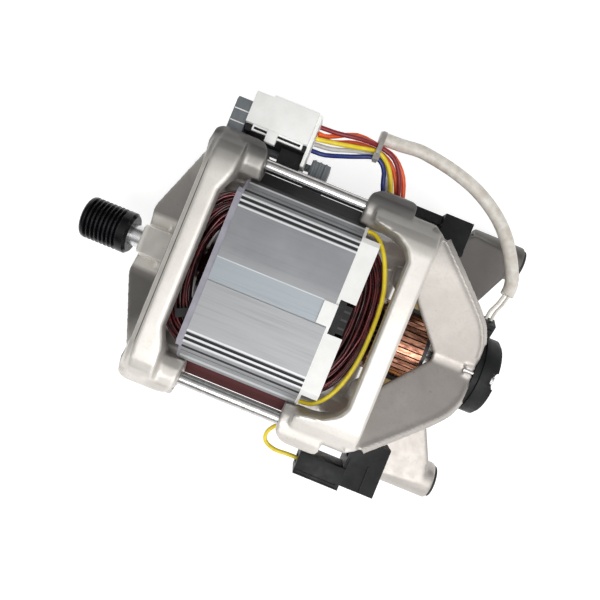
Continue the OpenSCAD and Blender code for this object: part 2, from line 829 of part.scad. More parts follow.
module tacho_screw() {
    color("silver") in_frame() {
        rod_x(rear_end - 5.5, rear_end + tacho_seat, 1.5, 0, tacho_screw_z);
        rod_x(rear_end + tacho_seat, rear_end + tacho_seat + 1.8, 3, 0, tacho_screw_z);
    }
}

module tacho_connector() {
    top = end_flange_r + 13;
    latch = [end_flange_r + 3, top - 2];
    color("#1c1c1c") in_frame() rotate([connector_turn, 0, 0]) {
        block([rear_end - 5.9, rear_end - 0.1], [end_flange_r + 0.02, top], [-4, 4]);
        block([rear_end - 1, rear_end + 1.6], [tacho_d / 2 - 1.3, top], [-4, 4]);
        block([rear_end - 7.4, rear_end - 5.9], latch, [-3, 3]);
        for (y = [latch[0]:3:latch[1]]) block([rear_end - 5, rear_end + 0.6], [y, y + 1.4], [4, 4.9]);
    }
}

// Brush gear, drawn on the upper side; the lower set is turned half a turn about the shaft

module lower_set() {
    rotate([180, 0, 0]) children();
}

module brush_slot(y1, y2, grow) {
    block([brush_x - box_w / 2 - grow, brush_x + box_w / 2 + grow], [y1, y2],
        [-box_t / 2 - grow, box_t / 2 + grow]);
}

// A holder between its flange and its outer end, with its terminal's housing beside it
module brush_holder(x_end, y_end, terminal) {
    flange_y = pad_y + pad_t;
    slot_wall = 0.3 * (terminal[1] - terminal[0]);
    difference() {
        union() {
            block([flange_x, x_end], [flange_y, flange_y + flange_t], [-pad_z - 1, pad_z + 1]);
            block([holder_x[0], x_end], [flange_y, y_end], [-pad_z - 1, pad_z]);
            block([terminal_x[0], holder_x[0] + 1], terminal, terminal_z);
        }
        brush_slot(flange_y - 1, box_end, box_wall);
        for (z = [-holder_screw_z, holder_screw_z]) translate([holder_screw_x, 0, z])
            rotate([-90, 0, 0]) {
                translate([0, 0, flange_y - 1]) cylinder(h = flange_t + 2, d = holder_screw_d);
                translate([0, 0, flange_y + flange_t])
                    cylinder(h = rim_y - flange_y - flange_t, r = holder_screw_head_r + 0.3);
            }
        block([terminal_x[0] - 1, holder_x[0] - 1], [terminal[0] + slot_wall, terminal[1] - slot_wall],
            [terminal_z[0] + 5, terminal_z[1] - 5]);
    }
}

// The upper holder is cut shorter than the lower one
module upper_brush_holder() {
    color("#202224") in_frame() brush_holder(upper_holder_end, upper_holder_out, upper_terminal_y);
}

module lower_brush_holder() {
    color("#202224") in_frame() lower_set() brush_holder(holder_x[1], holder_out, terminal_y);
}

module brush_box() {
    difference() {
        brush_slot(brush_box_y, box_end, box_wall);
        brush_slot(brush_box_y - 1, box_end - box_wall, 0);
    }
}

module upper_brush_box() {
    color("goldenrod") in_frame() brush_box();
}

module lower_brush_box() {
    color("goldenrod") in_frame() lower_set() brush_box();
}

module carbon_brush() {
    difference() {
        block([brush_x - brush_w / 2, brush_x + brush_w / 2], [commutator_r - 1.5, brush_y + brush_len],
            [-brush_t / 2, brush_t / 2]);
        rod_x(commutator_x[0] - 1, commutator_x[1] + 4, commutator_r + contact_clear);
    }
}

module upper_carbon_brush() {
    color("#3b3b3b") in_frame() carbon_brush();
}

module lower_carbon_brush() {
    color("#3b3b3b") in_frame() lower_set() carbon_brush();
}

// The spring rides behind its brush and leaves the brush's travel free at the closed end of the box
module brush_spring() {
    y2 = box_end - box_wall - brush_travel - 0.3;
    translate([brush_x, spring_y, 0]) rotate([-90, 0, 0]) difference() {
        cylinder(h = y2 - spring_y, r = spring_r);
        translate([0, 0, -1]) cylinder(h = y2 - spring_y + 2, r = spring_r - 0.7);
    }
}

module upper_brush_spring() {
    color("silver") in_frame() brush_spring();
}

module lower_brush_spring() {
    color("silver") in_frame() lower_set() brush_spring();
}

module brush_terminal(terminal) {
    mid_y = (terminal[0] + terminal[1]) / 2;
    mid_z = (terminal_z[0] + terminal_z[1]) / 2;
    block([terminal_x[0] + 6, holder_x[0] - 1], [mid_y - 0.5, mid_y + 0.5], [mid_z - 3.1, mid_z + 3.1]);
}

module upper_brush_terminal() {
    color("goldenrod") in_frame() brush_terminal(upper_terminal_y);
}

module lower_brush_terminal() {
    color("goldenrod") in_frame() lower_set() brush_terminal(terminal_y);
}

module holder_screws_one_side() {
    head_y = pad_y + pad_t + flange_t;
    for (z = [-holder_screw_z, holder_screw_z]) translate([holder_screw_x, 0, z]) rotate([-90, 0, 0]) {
        translate([0, 0, pad_y + 0.5]) cylinder(h = head_y - pad_y - 0.5, d = holder_screw_d);
        translate([0, 0, head_y]) cylinder(h = 2.4, r = holder_screw_head_r);
    }
}

module brush_holder_screws() {
    color("silver") in_frame() {
        holder_screws_one_side();
        lower_set() holder_screws_one_side();
    }
}

// Supply connector

// Carrier between the front bracket's side and the stack's side, with a ribbed stop at its front end
module terminal_holder() {
    seat_y = rim_y + 0.05;
    stop_out = plug_y[0] + 12;
    color("slategray") in_frame() {
        block(carrier_x, [seat_y, seat_y + carrier_t], carrier_z);
        block([carrier_x[0], carrier_x[0] + end_stop], [seat_y, stop_out], [carrier_z[0], end_stop_top]);
        for (z = [carrier_z[0] + 2:5:end_stop_top - 2]) block([carrier_x[0] - 1, carrier_x[0]], [seat_y, stop_out],
            [z, z + rib]);
        block([carrier_x[1] - foot_w, carrier_x[1]], [side_y, seat_y + carrier_t + 1], [carrier_z[0], foot_top]);
        for (x = [carrier_x[1] - foot_w + 1:3:carrier_x[1] - 1]) block([x, x + rib - 0.4],
            [side_y + 4, seat_y + carrier_t + 1], [foot_top, foot_top + rib]);
    }
}

module terminal_header() {
    seat_y = rim_y + carrier_t + 0.05;
    color("#242424") in_frame() {
        block([plug_x[0] + 0.5, plug_x[1] - 0.2], [seat_y, plug_y[0]], [carrier_z[0], plug_z[1] - 3]);
        block([carrier_x[1] - foot_w - 17, carrier_x[1] - foot_w - 5], [side_y + 3.5, seat_y],
            [carrier_z[1] + 0.1, foot_top + 2]);
    }
}

module terminal_plug() {
    latch_z = plug_z[1] - 2.9;
    latch_w = 5.5;
    color("whitesmoke") in_frame() {
        difference() {
            block(plug_x, plug_y, plug_z);
            // The end over the stop is a little narrower
            block([plug_x[0] - 1, plug_x[0] + 9], [plug_y[1] - 1.2, plug_y[1] + 1],
                [plug_z[0] - 1, plug_z[1] + 1]);
        }
        block([plug_x[0] + 4, plug_x[1] - 2], [plug_y[0] - 3, plug_y[0]], [latch_z, plug_z[1] - 1]);
        block([plug_x[0] + 12, plug_x[0] + 12 + latch_w], [plug_y[0] - 6.2, plug_y[0]],
            [latch_z, plug_z[1] + 0.5]);
        block([plug_x[1], plug_x[1] + 1.8], [plug_y[0] - 10, plug_y[1]], [plug_z[0] + 3, plug_z[1] - 3]);
    }
}

// Wires, each along its own points

function unit(v) = v / norm(v);

// Points of one ring round a path point
function ring_points(path, i, r, sides, up) =
    let (
        a = path[max(0, i - 1)],
        b = path[min(len(path) - 1, i + 1)],
        t = unit(b - a),
        n = unit(cross(t, up)),
        m = cross(t, n)
    )
    [for (k = [0:sides - 1]) path[i] + r * (n * cos(360 * k / sides) + m * sin(360 * k / sides))];

// A closed tube along a path, with flat ends
module tube(path, r, sides, up = [0, 0, 1]) {
    count = len(path);
    points = [for (i = [0:count - 1]) each ring_points(path, i, r, sides, up)];
    walls = [for (i = [0:count - 2], k = [0:sides - 1])
        let (
            a = i * sides + k,
            b = i * sides + (k + 1) % sides,
            c = a + sides,
            d = b + sides
        )
        each [[a, c, b], [b, c, d]]];
    first_end = [for (k = [1:sides - 2]) [0, k, k + 1]];
    last = (count - 1) * sides;
    last_end = [for (k = [1:sides - 2]) [last, last + k + 1, last + k]];
    polyhedron(points = points, faces = concat(walls, first_end, last_end), convexity = 10);
}

wire_r = wire_d / 2;
lead_r = 1.1;
sensor_lead_r = 0.8;
plug_face = plug_x[1] + 2.3;

maroon_route = [
    [plug_face, 85, 26], [0, 85.5, 26], [12, 87.5, 25], [22, 88.5, 21.2],
    [31, 86, 20], [37, 79, 18], [41, 69, 14], [42.5, 60, 10], [42, lead_guide_y + 0.2, 9]
];
orange_high_route = [
    [plug_face, 82, 25], [-4, 83, 23], [9, 90, 20], [22, 89.3, 18.8],
    [31.5, 87.5, 16.5], [39.5, 80, 14.5], [44, 69, 11], [45.3, 60, 6], [44.8, lead_guide_y + 0.2, 5.5]
];
orange_low_route = [
    [plug_face, 81.5, 20], [-1, 82, 20], [10, 86.5, 18.5], [22, 87, 17.6],
    [30.5, 84, 16], [36.5, 77, 14.5], [40.5, 68, 10], [41.6, 60, 5.5], [41, lead_guide_y + 0.2, 4.5]
];
yellow_route = [
    [plug_face, 78.5, 27], [0, 80, 27], [12, 83, 25], [22, 85.9, 20.6],
    [29, 82, 20], [34, 75, 18], [37.5, 67, 14], [39, 60, 10.5], [38.5, lead_guide_y + 0.2, 9.5]
];
white_route = [
    [plug_face, 77, 22], [0, 78, 22], [11, 82, 20.5], [22, 84.4, 18.2],
    [28.5, 80.5, 16.5], [33, 74, 15], [36.5, 66, 10], [37.8, 59.5, 5.5], [37.3, lead_guide_y + 0.2, 4.5]
];
blue_route = [
    [plug_face, 73, 24], [-2, 73.5, 24], [10, 78.6, 20], [22, 82.8, 20.3],
    [28, 79.5, 19], [30.8, 72, 18], [34, 65.5, 14], [35.2, 59.5, 10], [34.8, lead_guide_y + 0.2, 9]
];
sleeve_route = [
    [20, 94, 17.3], [32.5, 94.6, 17], [42, 95.5, 17], [52.6, 94.3, 17], [62.8, 92.3, 17],
    [73.7, 89, 17], [82.6, 84.8, 17], [91.5, 79, 17], [98.9, 72, 17], [105.1, 63.5, 17],
    [110, 54.3, 17], [111.6, 48.5, 17], [111.4, 43.5, 17]
];
sensor_lead_routes = [
    [[112.6, 43.3, 17], [111.3, 38, 16.8], [109.6, 33, 16.3], [109.3, 28.6, 15.5]],
    [[110.2, 43.3, 17], [108.8, 38, 16.8], [106.8, 33, 16.3], [106.5, 28.6, 15.5]]
];
field_route = [
    [stack_end + insulator_plate + 0.4, 44.8, 33], [36, 44.2, 34], [41, 39.5, 36.5], [46, 30, 38.2],
    [50.5, 15, 38.5], [51.2, -8, 38.5], [49, -24, 38.2], [44.5, -36, 37], [38.5, -43, 35],
    [stack_end + insulator_plate + 0.4, -44.8, 33]
];
brush_lead_route = [
    [stack_end + insulator_plate + 1.3, -50.5, 15], [34, -56.5, 15.5], [27, -64, 13], [24, -70, 8],
    [25, -75.5, 4.5], [31, -78, 4.5], [39, -77.7, 4.5], [terminal_x[0] + 5.8, -77.5, 4.5]
];

module wire(route, r) {
    in_frame() tube(route, r, 8, [0.3, 0.2, 1]);
}

module wire_maroon() {
    color("maroon") wire(maroon_route, wire_r);
}

module wire_orange_high() {
    color("orangered") wire(orange_high_route, wire_r);
}

module wire_orange_low() {
    color("orangered") wire(orange_low_route, wire_r);
}

module wire_yellow() {
    color("gold") wire(yellow_route, wire_r);
}

module wire_white() {
    color("white") wire(white_route, wire_r);
}

module wire_blue() {
    color("navy") wire(blue_route, wire_r);
}

module tacho_sleeve() {
    color("whitesmoke") wire(sleeve_route, sleeve_d / 2);
}

module sensor_leads() {
    color("whitesmoke") for (route = sensor_lead_routes) wire(route, sensor_lead_r);
}

module field_lead() {
    color("gold") wire(field_route, lead_r);
}

module brush_lead() {
    color("gold") wire(brush_lead_route, lead_r);
}

// Section of the tie: two round ends, one round the wires and one round the sleeve
tie_x = [20.2, 23.8];
tie_wires = [85.4, 19.5];
tie_sleeve = [93.5, 17.6];
tie_r = 6.3;
tie_t = 1.1;
tie_head = 4;

module stadium(r) {
    along = (tie_sleeve - tie_wires) / norm(tie_sleeve - tie_wires);
    side = [-along[1], along[0]] * r;
    translate(tie_wires) circle(r = r);
    translate(tie_sleeve) circle(r = r);
    polygon([tie_wires - side, tie_sleeve - side, tie_sleeve + side, tie_wires + side]);
}

module cable_tie() {
    color("lightgray") in_frame() {
        along_x(tie_x[0], tie_x[1]) difference() {
            stadium(tie_r);
            stadium(tie_r - tie_t);
        }
        translate([(tie_x[0] + tie_x[1]) / 2, tie_wires[0] - 5.6, tie_wires[1] + 5.6])
            cube([tie_x[1] - tie_x[0] + 0.8, tie_head, tie_head], center = true);
    }
}

front_bracket();
rear_bracket();
through_bolts();
bolt_washers();
stator_core();
front_insulator();
rear_insulator();
field_coil_near();
field_coil_far();
thermal_protector();
coil_tie();
shaft();
pulley();
armature_core();
armature_winding_front();
armature_winding_rear();
commutator_bars();
commutator_hub();
tacho_magnet();
front_bearing_outer();
front_bearing_balls();
front_bearing_inner();
rear_bearing_outer();
rear_bearing_balls();
rear_bearing_inner();
wave_washer();
tacho_coil();
tacho_cover();
tacho_screw();
tacho_connector();
upper_brush_holder();
lower_brush_holder();
upper_brush_box();
lower_brush_box();
upper_carbon_brush();
lower_carbon_brush();
upper_brush_spring();
lower_brush_spring();
upper_brush_terminal();
lower_brush_terminal();
brush_holder_screws();
lug_bushes();
lug_sleeves();
terminal_holder();
terminal_header();
terminal_plug();
wire_maroon();
wire_orange_high();
wire_orange_low();
wire_yellow();
wire_white();
wire_blue();
tacho_sleeve();
sensor_leads();
field_lead();
brush_lead();
cable_tie();
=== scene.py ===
import json
import math
import random

import bmesh
import bpy
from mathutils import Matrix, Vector

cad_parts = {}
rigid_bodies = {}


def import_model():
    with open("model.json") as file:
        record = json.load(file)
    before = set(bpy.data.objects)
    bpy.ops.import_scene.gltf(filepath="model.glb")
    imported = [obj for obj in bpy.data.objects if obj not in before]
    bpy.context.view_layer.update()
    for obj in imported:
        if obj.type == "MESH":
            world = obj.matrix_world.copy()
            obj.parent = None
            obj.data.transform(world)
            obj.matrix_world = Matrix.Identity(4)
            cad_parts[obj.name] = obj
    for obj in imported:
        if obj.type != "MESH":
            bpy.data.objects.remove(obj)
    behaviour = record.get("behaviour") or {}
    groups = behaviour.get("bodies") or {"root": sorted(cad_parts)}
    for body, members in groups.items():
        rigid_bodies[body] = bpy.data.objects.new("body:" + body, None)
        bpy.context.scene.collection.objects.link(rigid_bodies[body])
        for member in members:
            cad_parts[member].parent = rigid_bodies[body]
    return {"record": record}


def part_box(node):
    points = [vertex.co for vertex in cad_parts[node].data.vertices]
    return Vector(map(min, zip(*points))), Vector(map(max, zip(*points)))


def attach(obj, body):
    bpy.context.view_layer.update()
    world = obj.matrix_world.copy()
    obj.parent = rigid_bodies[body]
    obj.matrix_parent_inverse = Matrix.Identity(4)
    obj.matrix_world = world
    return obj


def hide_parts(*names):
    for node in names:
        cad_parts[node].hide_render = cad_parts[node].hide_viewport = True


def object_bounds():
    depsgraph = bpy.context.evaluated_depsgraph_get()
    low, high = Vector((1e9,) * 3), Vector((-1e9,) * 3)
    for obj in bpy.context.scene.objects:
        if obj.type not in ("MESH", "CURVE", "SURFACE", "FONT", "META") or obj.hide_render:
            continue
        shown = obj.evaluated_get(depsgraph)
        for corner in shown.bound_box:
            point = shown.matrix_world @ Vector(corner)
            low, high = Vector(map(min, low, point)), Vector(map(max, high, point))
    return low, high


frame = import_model()
cad_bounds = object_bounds()

MM = 0.001

# Stations taken from the exact parts
stack_low, stack_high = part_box("stator_core")
STACK_X = (stack_low[0] + stack_high[0]) / 2
STACK_HALF = (stack_high[0] - stack_low[0]) / 2
FLOOR_Z = cad_bounds[0][2]

# Camera, from the photograph's own perspective
CAMERA_PLACE = (STACK_X + 13.8 * MM, 1.2 * MM, 326 * MM)
CAMERA_TURN = math.radians(22.2)
CAMERA_LENS = 36
CAMERA_SENSOR = 36
CAMERA_RANGE = (0.01, 20)


def at_stack(points):
    """Points in millimetres from the middle of the stack, as metres in the part's frame."""
    return [Vector((STACK_X + x * MM, y * MM, z * MM)) for x, y, z in points]


# Helpers for objects and nodes


def place_object(name, data):
    """A new object in the scene, at the origin."""
    obj = bpy.data.objects.new(name, data)
    bpy.context.scene.collection.objects.link(obj)
    return obj


def maths(tree, operation, *values):
    """One step of arithmetic in a node tree, on plain numbers and on outputs of other nodes."""
    node = tree.nodes.new("ShaderNodeMath")
    node.operation = operation
    for socket, value in zip(node.inputs, values):
        if isinstance(value, (int, float)):
            socket.default_value = value
        else:
            tree.links.new(value, socket)
    return node.outputs[0]


# Materials, whose patterns have their sizes in millimetres

# The share of its strength that each finer layer of a noise keeps
NOISE_BREAKUP = 0.55
# The width of a streak as a share of its length
STREAK_STRETCH = 0.02
# The part of a noise's range over which gloss changes
PATCH_LIMITS = (0.3, 0.7)
# Cosines of the turn of a rounded edge, where it starts to show and where it shows in full
EDGE_COSINES = (0.98, 0.86)
EDGE_SAMPLES = 4


class Surface:
    """A Principled material whose colour, gloss and relief come from patterns on Object coordinates."""

    def __init__(self, name, stretch=(1, 1, 1)):
        self.material = bpy.data.materials.new(name)
        self.material.use_nodes = True
        self.tree = self.material.node_tree
        self.nodes = self.tree.nodes
        self.shader = self.nodes["Principled BSDF"]
        place = self.nodes.new("ShaderNodeTexCoord")
        self.place = self.stretched(place.outputs["Object"], stretch)

    def link(self, source, target):
        self.tree.links.new(source, target)

    def stretched(self, place, scale):
        """Places for a pattern that is narrower along an axis where the scale is above one."""
        mapping = self.nodes.new("ShaderNodeMapping")
        mapping.inputs["Scale"].default_value = scale
        self.link(place, mapping.inputs["Vector"])
        return mapping.outputs["Vector"]

    def set(self, **values):
        for name, value in values.items():
            self.shader.inputs[name.replace("_", " ")].default_value = value
        return self

    def noise(self, size_mm, detail):
        """A cloudy pattern with patches of one size, and finer layers within them."""
        node = self.nodes.new("ShaderNodeTexNoise")
        node.inputs["Scale"].default_value = 1 / (size_mm * MM)
        node.inputs["Detail"].default_value = detail
        node.inputs["Roughness"].default_value = NOISE_BREAKUP
        self.link(self.place, node.inputs["Vector"])
        return node.outputs["Fac"]

    def streaks(self, width_mm):
        """A noise that is drawn out along the shaft."""
        node = self.nodes.new("ShaderNodeTexNoise")
        node.inputs["Scale"].default_value = 1 / (width_mm * MM)
        node.inputs["Detail"].default_value = 2.0
        self.link(self.stretched(self.place, (STREAK_STRETCH, 1, 1)), node.inputs["Vector"])
        return node.outputs["Fac"]

    def times(self, first, second):
        return maths(self.tree, "MULTIPLY", first, second)

    def size_of(self, value):
        return maths(self.tree, "ABSOLUTE", value)

    def along(self, axis):
        """The distance from the frame's origin along one axis, in millimetres."""
        split = self.nodes.new("ShaderNodeSeparateXYZ")
        self.link(self.place, split.inputs[0])
        return self.times(split.outputs[axis], 1 / MM)

    def band(self, value, middle, half, soft=0.15):
        """1 where a value is within half of the middle, 0 elsewhere."""
        away = self.size_of(maths(self.tree, "SUBTRACT", value, middle))
        return self.spread(away, half + soft, half)

    def zone(self, **ranges):
        """1 inside a soft box, 0 outside it: each axis goes from 0 at its first place to 1 at its second.
        "away" is the distance from the shaft's upright plane, on both sides of it."""
        share = None
        for axis, (outside, inside) in ranges.items():
            place = self.size_of(self.along("Y")) if axis == "away" else self.along(axis)
            part = self.spread(place, outside, inside)
            share = part if share is None else self.times(share, part)
        return share

    def spread(self, value, low, high, out_low=0.0, out_high=1.0):
        """Maps the part of a pattern between low and high onto a new range."""
        node = self.nodes.new("ShaderNodeMapRange")
        node.inputs["From Min"].default_value = low
        node.inputs["From Max"].default_value = high
        node.inputs["To Min"].default_value = out_low
        node.inputs["To Max"].default_value = out_high
        self.link(value, node.inputs["Value"])
        return node.outputs["Result"]

    def edges(self, width_mm):
        """Where the surface bends round a sharp edge, from 0 on a face to 1 on the edge."""
        bevel = self.nodes.new("ShaderNodeBevel")
        bevel.samples = EDGE_SAMPLES
        bevel.inputs["Radius"].default_value = width_mm * MM
        geometry = self.nodes.new("ShaderNodeNewGeometry")
        dot = self.nodes.new("ShaderNodeVectorMath")
        dot.operation = "DOT_PRODUCT"
        self.link(bevel.outputs["Normal"], dot.inputs[0])
        self.link(geometry.outputs["Normal"], dot.inputs[1])
        return self.spread(dot.outputs["Value"], *EDGE_COSINES)

    def blend(self, share, first, second):
        """Mixes two colours, each a plain colour or the output of another node."""
        node = self.nodes.new("ShaderNodeMix")
        node.data_type = "RGBA"
        self.link(share, node.inputs["Factor"])
        for socket, colour in (("A", first), ("B", second)):
            target = next(s for s in node.inputs if s.name == socket and s.type == "RGBA")
            if isinstance(colour, tuple):
                target.default_value = (*colour, 1)
            else:
                self.link(colour, target)
        return next(s for s in node.outputs if s.type == "RGBA")

    def mottled(self, size_mm, detail, limits, first, second):
        """Patches of two colours: the first where a noise is under its limits, the second above them."""
        return self.blend(self.spread(self.noise(size_mm, detail), *limits), first, second)

    def colour(self, output):
        self.link(output, self.shader.inputs["Base Color"])

    def roughness(self, output):
        self.link(output, self.shader.inputs["Roughness"])

    def patchy_roughness(self, size_mm, low, high, detail=3):
        """Roughness that drifts between two values, in patches of one size."""
        self.roughness(self.spread(self.noise(size_mm, detail), *PATCH_LIMITS, low, high))

    def relief(self, height, depth_mm, strength):
        """Bumps of one depth, over any that were given before."""
        node = self.nodes.new("ShaderNodeBump")
        node.inputs["Distance"].default_value = depth_mm * MM
        node.inputs["Strength"].default_value = strength
        self.link(height, node.inputs["Height"])
        previous = self.shader.inputs["Normal"]
        if previous.is_linked:
            self.link(previous.links[0].from_socket, node.inputs["Normal"])
        self.link(node.outputs["Normal"], previous)


# Painted light and shade on the castings' skin, lighter or darker than elsewhere: zone, share and grey of
# each place
MIDDLE = STACK_X / MM
PULLEY_END = (MIDDLE - 42, MIDDLE - 56)
CAST_PAINTED_LIGHT = (
    # Painted light on the tops of the bars, and on the nose at the pulley end
    ({"Z": (38, 45)}, 0.6, (0.82, 0.79, 0.74)),
    ({"X": (MIDDLE - 50, MIDDLE - 55), "away": (15, 13)}, 0.65, (0.86, 0.83, 0.77)),
    # Painted shade on the walls past the rear bar
    ({"X": (MIDDLE + 63.5, MIDDLE + 66)}, 0.55, (0.42, 0.385, 0.36)),
    # Painted shade on the webs at the pulley end, darker away from the connector
    ({"X": PULLEY_END, "away": (13.5, 16), "Z": (40, 30)}, 0.8, (0.20, 0.185, 0.175)),
    ({"X": PULLEY_END, "Y": (-15, -19), "Z": (40, 30)}, 0.55, (0.06, 0.058, 0.052)),
    # Painted shade on the corners on the connector's side, and on the lug arm there
    ({"Y": (40, 61), "Z": (12, 38)}, 0.93, (0.065, 0.064, 0.063)),
    ({"X": (MIDDLE + 58, MIDDLE + 74), "Y": (26, 42), "Z": (28, 16)}, 0.85, (0.09, 0.085, 0.08)),
)
# Dark lines in the two steps along the front bar, and the part of the bar where they show
STEP_LINES = (MIDDLE - 49.7, MIDDLE - 52.3)
STEP_LINE_HALF = 0.16
STEP_LINE_SOFT = 0.12
STEP_LINE_ZONE = {"Z": (26, 32), "away": (47, 43)}

# Tones of the skin: its patches, fine grain, pits, the dark lines in the steps, and the rubbed edges that
# also carry a painted highlight
CAST_DULL = (0.60, 0.565, 0.525)
CAST_PALE = (0.71, 0.68, 0.635)
CAST_GRAIN = (0.56, 0.525, 0.49)
CAST_PIT = (0.25, 0.23, 0.21)
CAST_STEP_LINE_TONE = (0.07, 0.065, 0.06)
CAST_RUBBED_HIGHLIGHT = (0.84, 0.81, 0.76)
CAST_RUB_HIGHLIGHT_WIDTH = 0.5
CAST_RUB_HIGHLIGHT_SHARE = 0.7


def cast_metal():
    """Die-cast aluminium: pale and satin, with dull stains, a fine grain, small pits, rubbed edges under
    a painted highlight, and painted light and shade in places.
    """
    s = Surface("cast_aluminium").set(Metallic=0.72)
    tone = s.mottled(16, 5, (0.36, 0.68), CAST_DULL, CAST_PALE)
    tone = s.mottled(1.4, 4, (0.50, 0.74), tone, CAST_GRAIN)
    tone = s.mottled(2.6, 1.5, (0.735, 0.79), tone, CAST_PIT)
    # Painted light on the bar tops and nose, and painted shade on the walls, webs, corners and lug arm
    for ranges, share, grey in CAST_PAINTED_LIGHT:
        tone = s.blend(s.times(s.zone(**ranges), share), tone, grey)
    for station in STEP_LINES:
        line = s.band(s.along("X"), station, STEP_LINE_HALF, STEP_LINE_SOFT)
        tone = s.blend(s.times(line, s.zone(**STEP_LINE_ZONE)), tone, CAST_STEP_LINE_TONE)
    # Rubbed edges: worn metal, and a painted highlight along every edge
    s.colour(s.blend(s.times(s.edges(CAST_RUB_HIGHLIGHT_WIDTH), CAST_RUB_HIGHLIGHT_SHARE), tone, CAST_RUBBED_HIGHLIGHT))
    s.patchy_roughness(6, 0.40, 0.52, detail=4)
    s.relief(s.noise(0.7, 3), 0.04, 0.5)
    s.relief(s.noise(8, 2), 0.25, 0.25)
    return s.material


# Painted shade in the grooves along the stack and painted highlight on the ridges beside them: distance
# from the middle and half width
GROOVE_SHADE_LINES = ((33.05, 0.62), (35.55, 0.62), (39.6, 0.5))
RIDGE_HIGHLIGHT_LINES = ((31.6, 0.35), (34.3, 0.4), (37.0, 0.45), (44.6, 0.5))
# Half widths of the bare strip down the middle of the stack's top, and of the bright line along its edge
# on the connector's side
STRIP_HALF = 5.7
STRIP_EDGE_HALF = 0.18
# The places along Y over which painted shade takes the stack's grey from its far side's to its connector
# side's
STACK_SHADE_RUN = (2.0, 12.0)
# The places along Y over which the stack's upright sides begin; the far side is away from the connector
CONNECTOR_SIDE = (44.7, 45.1)
FAR_SIDE = (-47.2, -47.6)
# Thickness of one sheet, and the length after which a wave pattern with a scale of one comes round
SHEET_THICK = 0.4084
WAVE_LENGTH_AT_ONE = math.tau / 20

# Tones of the stack, with its painted light and shade, of what was rubbed bare on it and of what lies on
# it
FAR_SIDE_LIT_TONE = (0.36, 0.365, 0.375)
CONNECTOR_SIDE_SHADED_TONE = (0.245, 0.25, 0.262)
STRIP_TONE = (0.355, 0.395, 0.425)
STRIP_EDGE_TONE = (0.62, 0.65, 0.67)
DRAWN_TONE = (0.18, 0.18, 0.19)
BLOOM_TONE = (0.37, 0.38, 0.39)
RIDGE_HIGHLIGHT_TONE = (0.66, 0.67, 0.68)
GROOVE_SHADE_TONE = (0.025, 0.025, 0.027)
CONNECTOR_SIDE_SHADOW_TONE = (0.045, 0.045, 0.048)
RED_VARNISH = (0.10, 0.016, 0.018)
SHEET_GAP_TONE = (0.12, 0.12, 0.13)


def stacked_sheets():
    """Stacked steel sheets: a smooth dull grey with painted shade towards the connector, a bluish strip
    down the middle, painted shade in the long grooves and painted highlights on the ridges beside them.
    The upright side under the connector carries a nearly black painted shadow, and the far one is
    varnished red."""
    s = Surface("laminated_steel").set(Metallic=0.45)
    across = s.along("Y")
    # Painted shade: darker towards the connector
    tone = s.blend(s.spread(across, *STACK_SHADE_RUN), FAR_SIDE_LIT_TONE, CONNECTOR_SIDE_SHADED_TONE)
    tone = s.blend(s.band(across, 0.0, STRIP_HALF), tone, STRIP_TONE)
    tone = s.blend(s.band(across, STRIP_HALF, STRIP_EDGE_HALF), tone, STRIP_EDGE_TONE)
    drawn = s.streaks(0.8)
    tone = s.blend(s.spread(drawn, 0.54, 0.76, 0.0, 0.22), tone, DRAWN_TONE)
    tone = s.blend(s.spread(s.noise(22, 3), 0.42, 0.70, 0.0, 0.3), tone, BLOOM_TONE)
    away = s.size_of(across)
    # Painted highlight on the ridges, then painted shade in the grooves
    for middle, half in RIDGE_HIGHLIGHT_LINES:
        tone = s.blend(s.band(away, middle, half, 0.2), tone, RIDGE_HIGHLIGHT_TONE)
    for middle, half in GROOVE_SHADE_LINES:
        tone = s.blend(s.band(away, middle, half, 0.12), tone, GROOVE_SHADE_TONE)
    # Painted shadow on the upright side under the connector
    tone = s.blend(s.spread(across, *CONNECTOR_SIDE), tone, CONNECTOR_SIDE_SHADOW_TONE)
    tone = s.blend(s.spread(across, *FAR_SIDE), tone, RED_VARNISH)
    sheets = s.nodes.new("ShaderNodeTexWave")
    sheets.bands_direction = "X"
    sheets.inputs["Scale"].default_value = WAVE_LENGTH_AT_ONE / (SHEET_THICK * MM)
    s.link(s.place, sheets.inputs["Vector"])
    tone = s.blend(s.spread(sheets.outputs["Fac"], 0.0, 0.2, 0.12, 0.0), tone, SHEET_GAP_TONE)
    s.colour(tone)
    s.roughness(s.spread(drawn, *PATCH_LIMITS, 0.44, 0.52))
    s.relief(drawn, 0.015, 0.35)
    return s.material


def plated_steel():
    s = Surface("plated_steel").set(Metallic=1.0)
    s.colour(s.mottled(3, 4, (0.35, 0.7), (0.50, 0.49, 0.49), (0.64, 0.63, 0.62)))
    s.patchy_roughness(2, 0.13, 0.24)
    s.relief(s.noise(0.6, 2), 0.01, 0.4)
    return s.material


def turned_steel(name):
    """Bright steel with fine rings from the lathe."""
    s = Surface(name, stretch=(6, 1, 1)).set(Metallic=1.0)
    s.colour(s.blend(s.noise(3, 4), (0.60, 0.60, 0.61), (0.76, 0.76, 0.76)))
    s.patchy_roughness(2, 0.2, 0.34)
    s.relief(s.noise(0.5, 2), 0.01, 0.5)
    return s.material


def polished_steel():
    s = Surface("bearing_steel").set(Metallic=1.0)
    s.colour(s.blend(s.noise(4, 3), (0.66, 0.66, 0.67), (0.74, 0.74, 0.75)))
    s.patchy_roughness(3, 0.08, 0.18)
    return s.material


def black_steel():
    s = Surface("black_steel").set(Metallic=0.6)
    tone = s.blend(s.noise(4, 4), (0.006, 0.006, 0.007), (0.014, 0.014, 0.016))
    # Paler edges: a painted highlight along the edges, such as those of the pulley's grooves
    s.colour(s.blend(s.edges(0.3), tone, (0.07, 0.072, 0.08)))
    s.patchy_roughness(2, 0.20, 0.32)
    s.relief(s.noise(0.5, 3), 0.02, 0.4)
    return s.material


